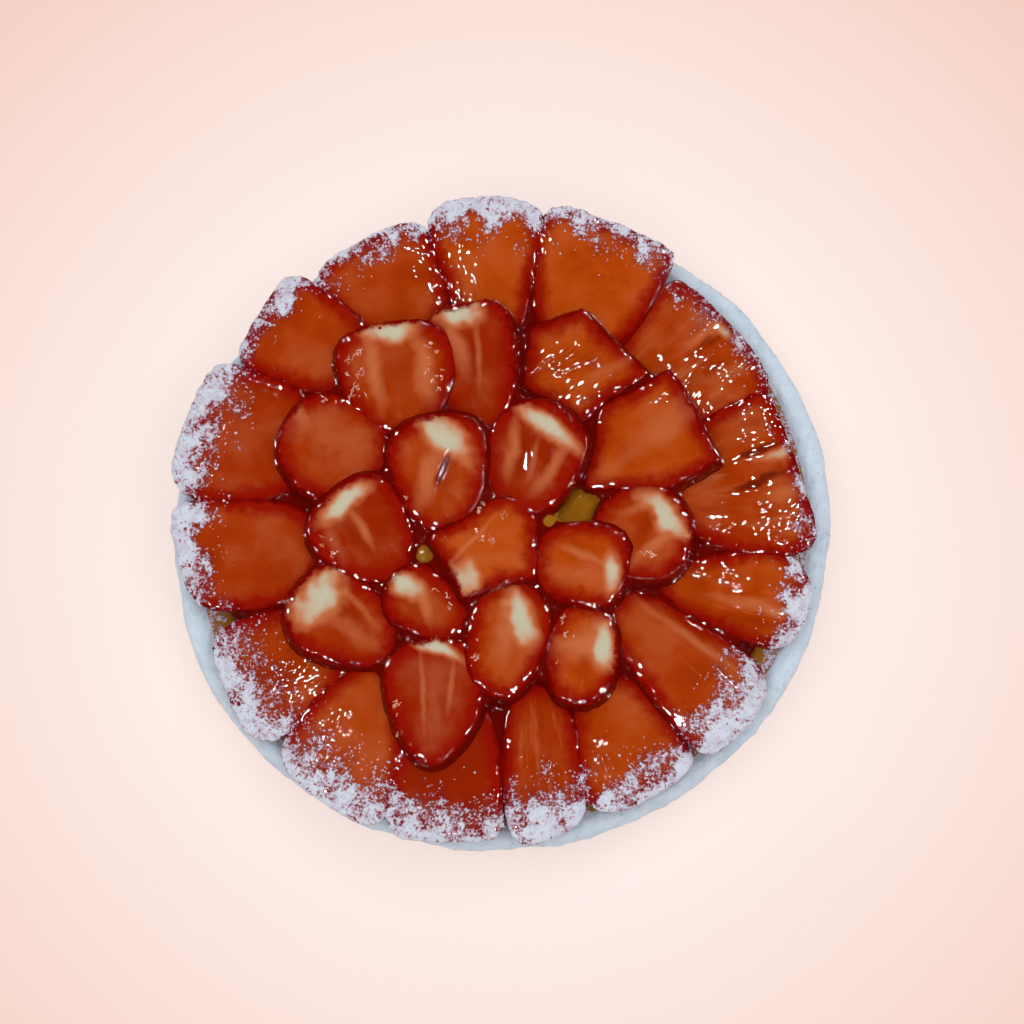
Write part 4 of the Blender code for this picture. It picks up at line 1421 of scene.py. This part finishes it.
def add_world(look):
    """A room that is pale at the level of the table and dark overhead, so that level glaze stays deep."""
    world = bpy.data.worlds.new("studio")
    world.use_nodes = True
    bpy.context.scene.world = world
    nodes, links = world.node_tree.nodes, world.node_tree.links
    coordinate = nodes.new("ShaderNodeTexCoord")
    split = nodes.new("ShaderNodeSeparateXYZ")
    ramp = nodes.new("ShaderNodeValToRGB")
    pale, dark = ramp.color_ramp.elements
    pale.color, pale.position = (*look.floor, 1), 0.08
    dark.color, dark.position = (0.03, 0.03, 0.035, 1), 0.5
    between = ramp.color_ramp.elements.new(0.22)
    between.color = (0.12, 0.08, 0.07, 1)
    links.new(coordinate.outputs["Generated"], split.inputs[0])
    links.new(split.outputs["Z"], ramp.inputs["Fac"])
    links.new(ramp.outputs["Color"], nodes["Background"].inputs["Color"])
    world.cycles_visibility.glossy = False


def add_camera(look):
    """A camera far enough back for its lens to span the frame's width at the rim."""
    data = bpy.data.cameras.new("camera")
    data.lens = look.lens
    camera = bpy.data.objects.new("camera", data)
    bpy.context.scene.collection.objects.link(camera)
    distance = look.frame_width * look.lens / data.sensor_width
    target = Vector((2.9 * MM, 4.8 * MM, CRUST_HIGH.z))
    back = Vector((0, -math.cos(look.elevation), math.sin(look.elevation)))
    camera.location = target + back * distance
    camera.rotation_euler = back.to_track_quat("Z", "Y").to_euler()
    bpy.context.scene.camera = camera


# ---------------------------------------------------------------- operators


class TartStage(bpy.types.Operator):
    """Lays the floor and sets the light and the camera"""

    bl_idname = "tart.stage"
    bl_label = "Stage"

    def execute(self, context):
        look = context.scene.tart_stage
        context.scene.view_settings.view_transform = "Standard"
        add_camera(look)
        add_world(look)
        add_floor(look)
        add_lamps(look)
        return {"FINISHED"}


class TartCrust(bpy.types.Operator):
    """Makes the pastry crust under its icing sugar"""

    bl_idname = "tart.crust"
    bl_label = "Crust"

    def execute(self, context):
        add_crust(context.scene.tart_crust)
        return {"FINISHED"}


class TartFruit(bpy.types.Operator):
    """Lays the glazed strawberry pieces"""

    bl_idname = "tart.fruit"
    bl_label = "Fruit"

    def execute(self, context):
        add_fruit(context.scene.tart_fruit, context.scene.tart_crust)
        return {"FINISHED"}


class TartSeeds(bpy.types.Operator):
    """Sets the seeds into the fruit's skin"""

    bl_idname = "tart.seeds"
    bl_label = "Seeds"

    def execute(self, context):
        add_seeds(context.scene.tart_fruit)
        return {"FINISHED"}


class TartFilling(bpy.types.Operator):
    """Pours the custard and the glaze between the fruit"""

    bl_idname = "tart.filling"
    bl_label = "Filling"

    def execute(self, context):
        add_filling(context.scene.tart_filling, context.scene.tart_crust)
        return {"FINISHED"}


class TartGlaze(bpy.types.Operator):
    """Adds the beads and threads of set glaze on the fruit"""

    bl_idname = "tart.glaze"
    bl_label = "Glaze beads and threads"

    def execute(self, context):
        add_beads(context.scene.tart_fruit)
        add_threads(context.scene.tart_fruit)
        return {"FINISHED"}


class TartSugar(bpy.types.Operator):
    """Scatters loose icing sugar over the dusted fruit and the lip"""

    bl_idname = "tart.sugar"
    bl_label = "Icing sugar"

    def execute(self, context):
        add_grains(context.scene.tart_crust)
        return {"FINISHED"}


OPERATORS = (TartStage, TartCrust, TartFruit, TartSeeds, TartFilling, TartGlaze, TartSugar)


class TartPanel(bpy.types.Panel):
    """The tart's makers, in the order they run"""

    bl_idname = "VIEW3D_PT_tart"
    bl_label = "Strawberry Tart"
    bl_space_type = "VIEW_3D"
    bl_region_type = "UI"
    bl_category = "Tart"

    def draw(self, context):
        for operator in OPERATORS:
            self.layout.operator(operator.bl_idname)
        for name, group in SETTINGS.items():
            box = self.layout.box()
            for key in group.__annotations__:
                box.prop(getattr(context.scene, name), key)


def register():
    for kind in (*SETTINGS.values(), *OPERATORS, TartPanel):
        bpy.utils.register_class(kind)
    for name, group in SETTINGS.items():
        setattr(bpy.types.Scene, name, PointerProperty(type=group))


def unregister():
    for name in SETTINGS:
        delattr(bpy.types.Scene, name)
    for kind in (TartPanel, *reversed(OPERATORS), *reversed(SETTINGS.values())):
        bpy.utils.unregister_class(kind)


def main():
    register()
    for operator in OPERATORS:
        space, name = operator.bl_idname.split(".")
        getattr(getattr(bpy.ops, space), name)()


if __name__ == "__main__":
    main()
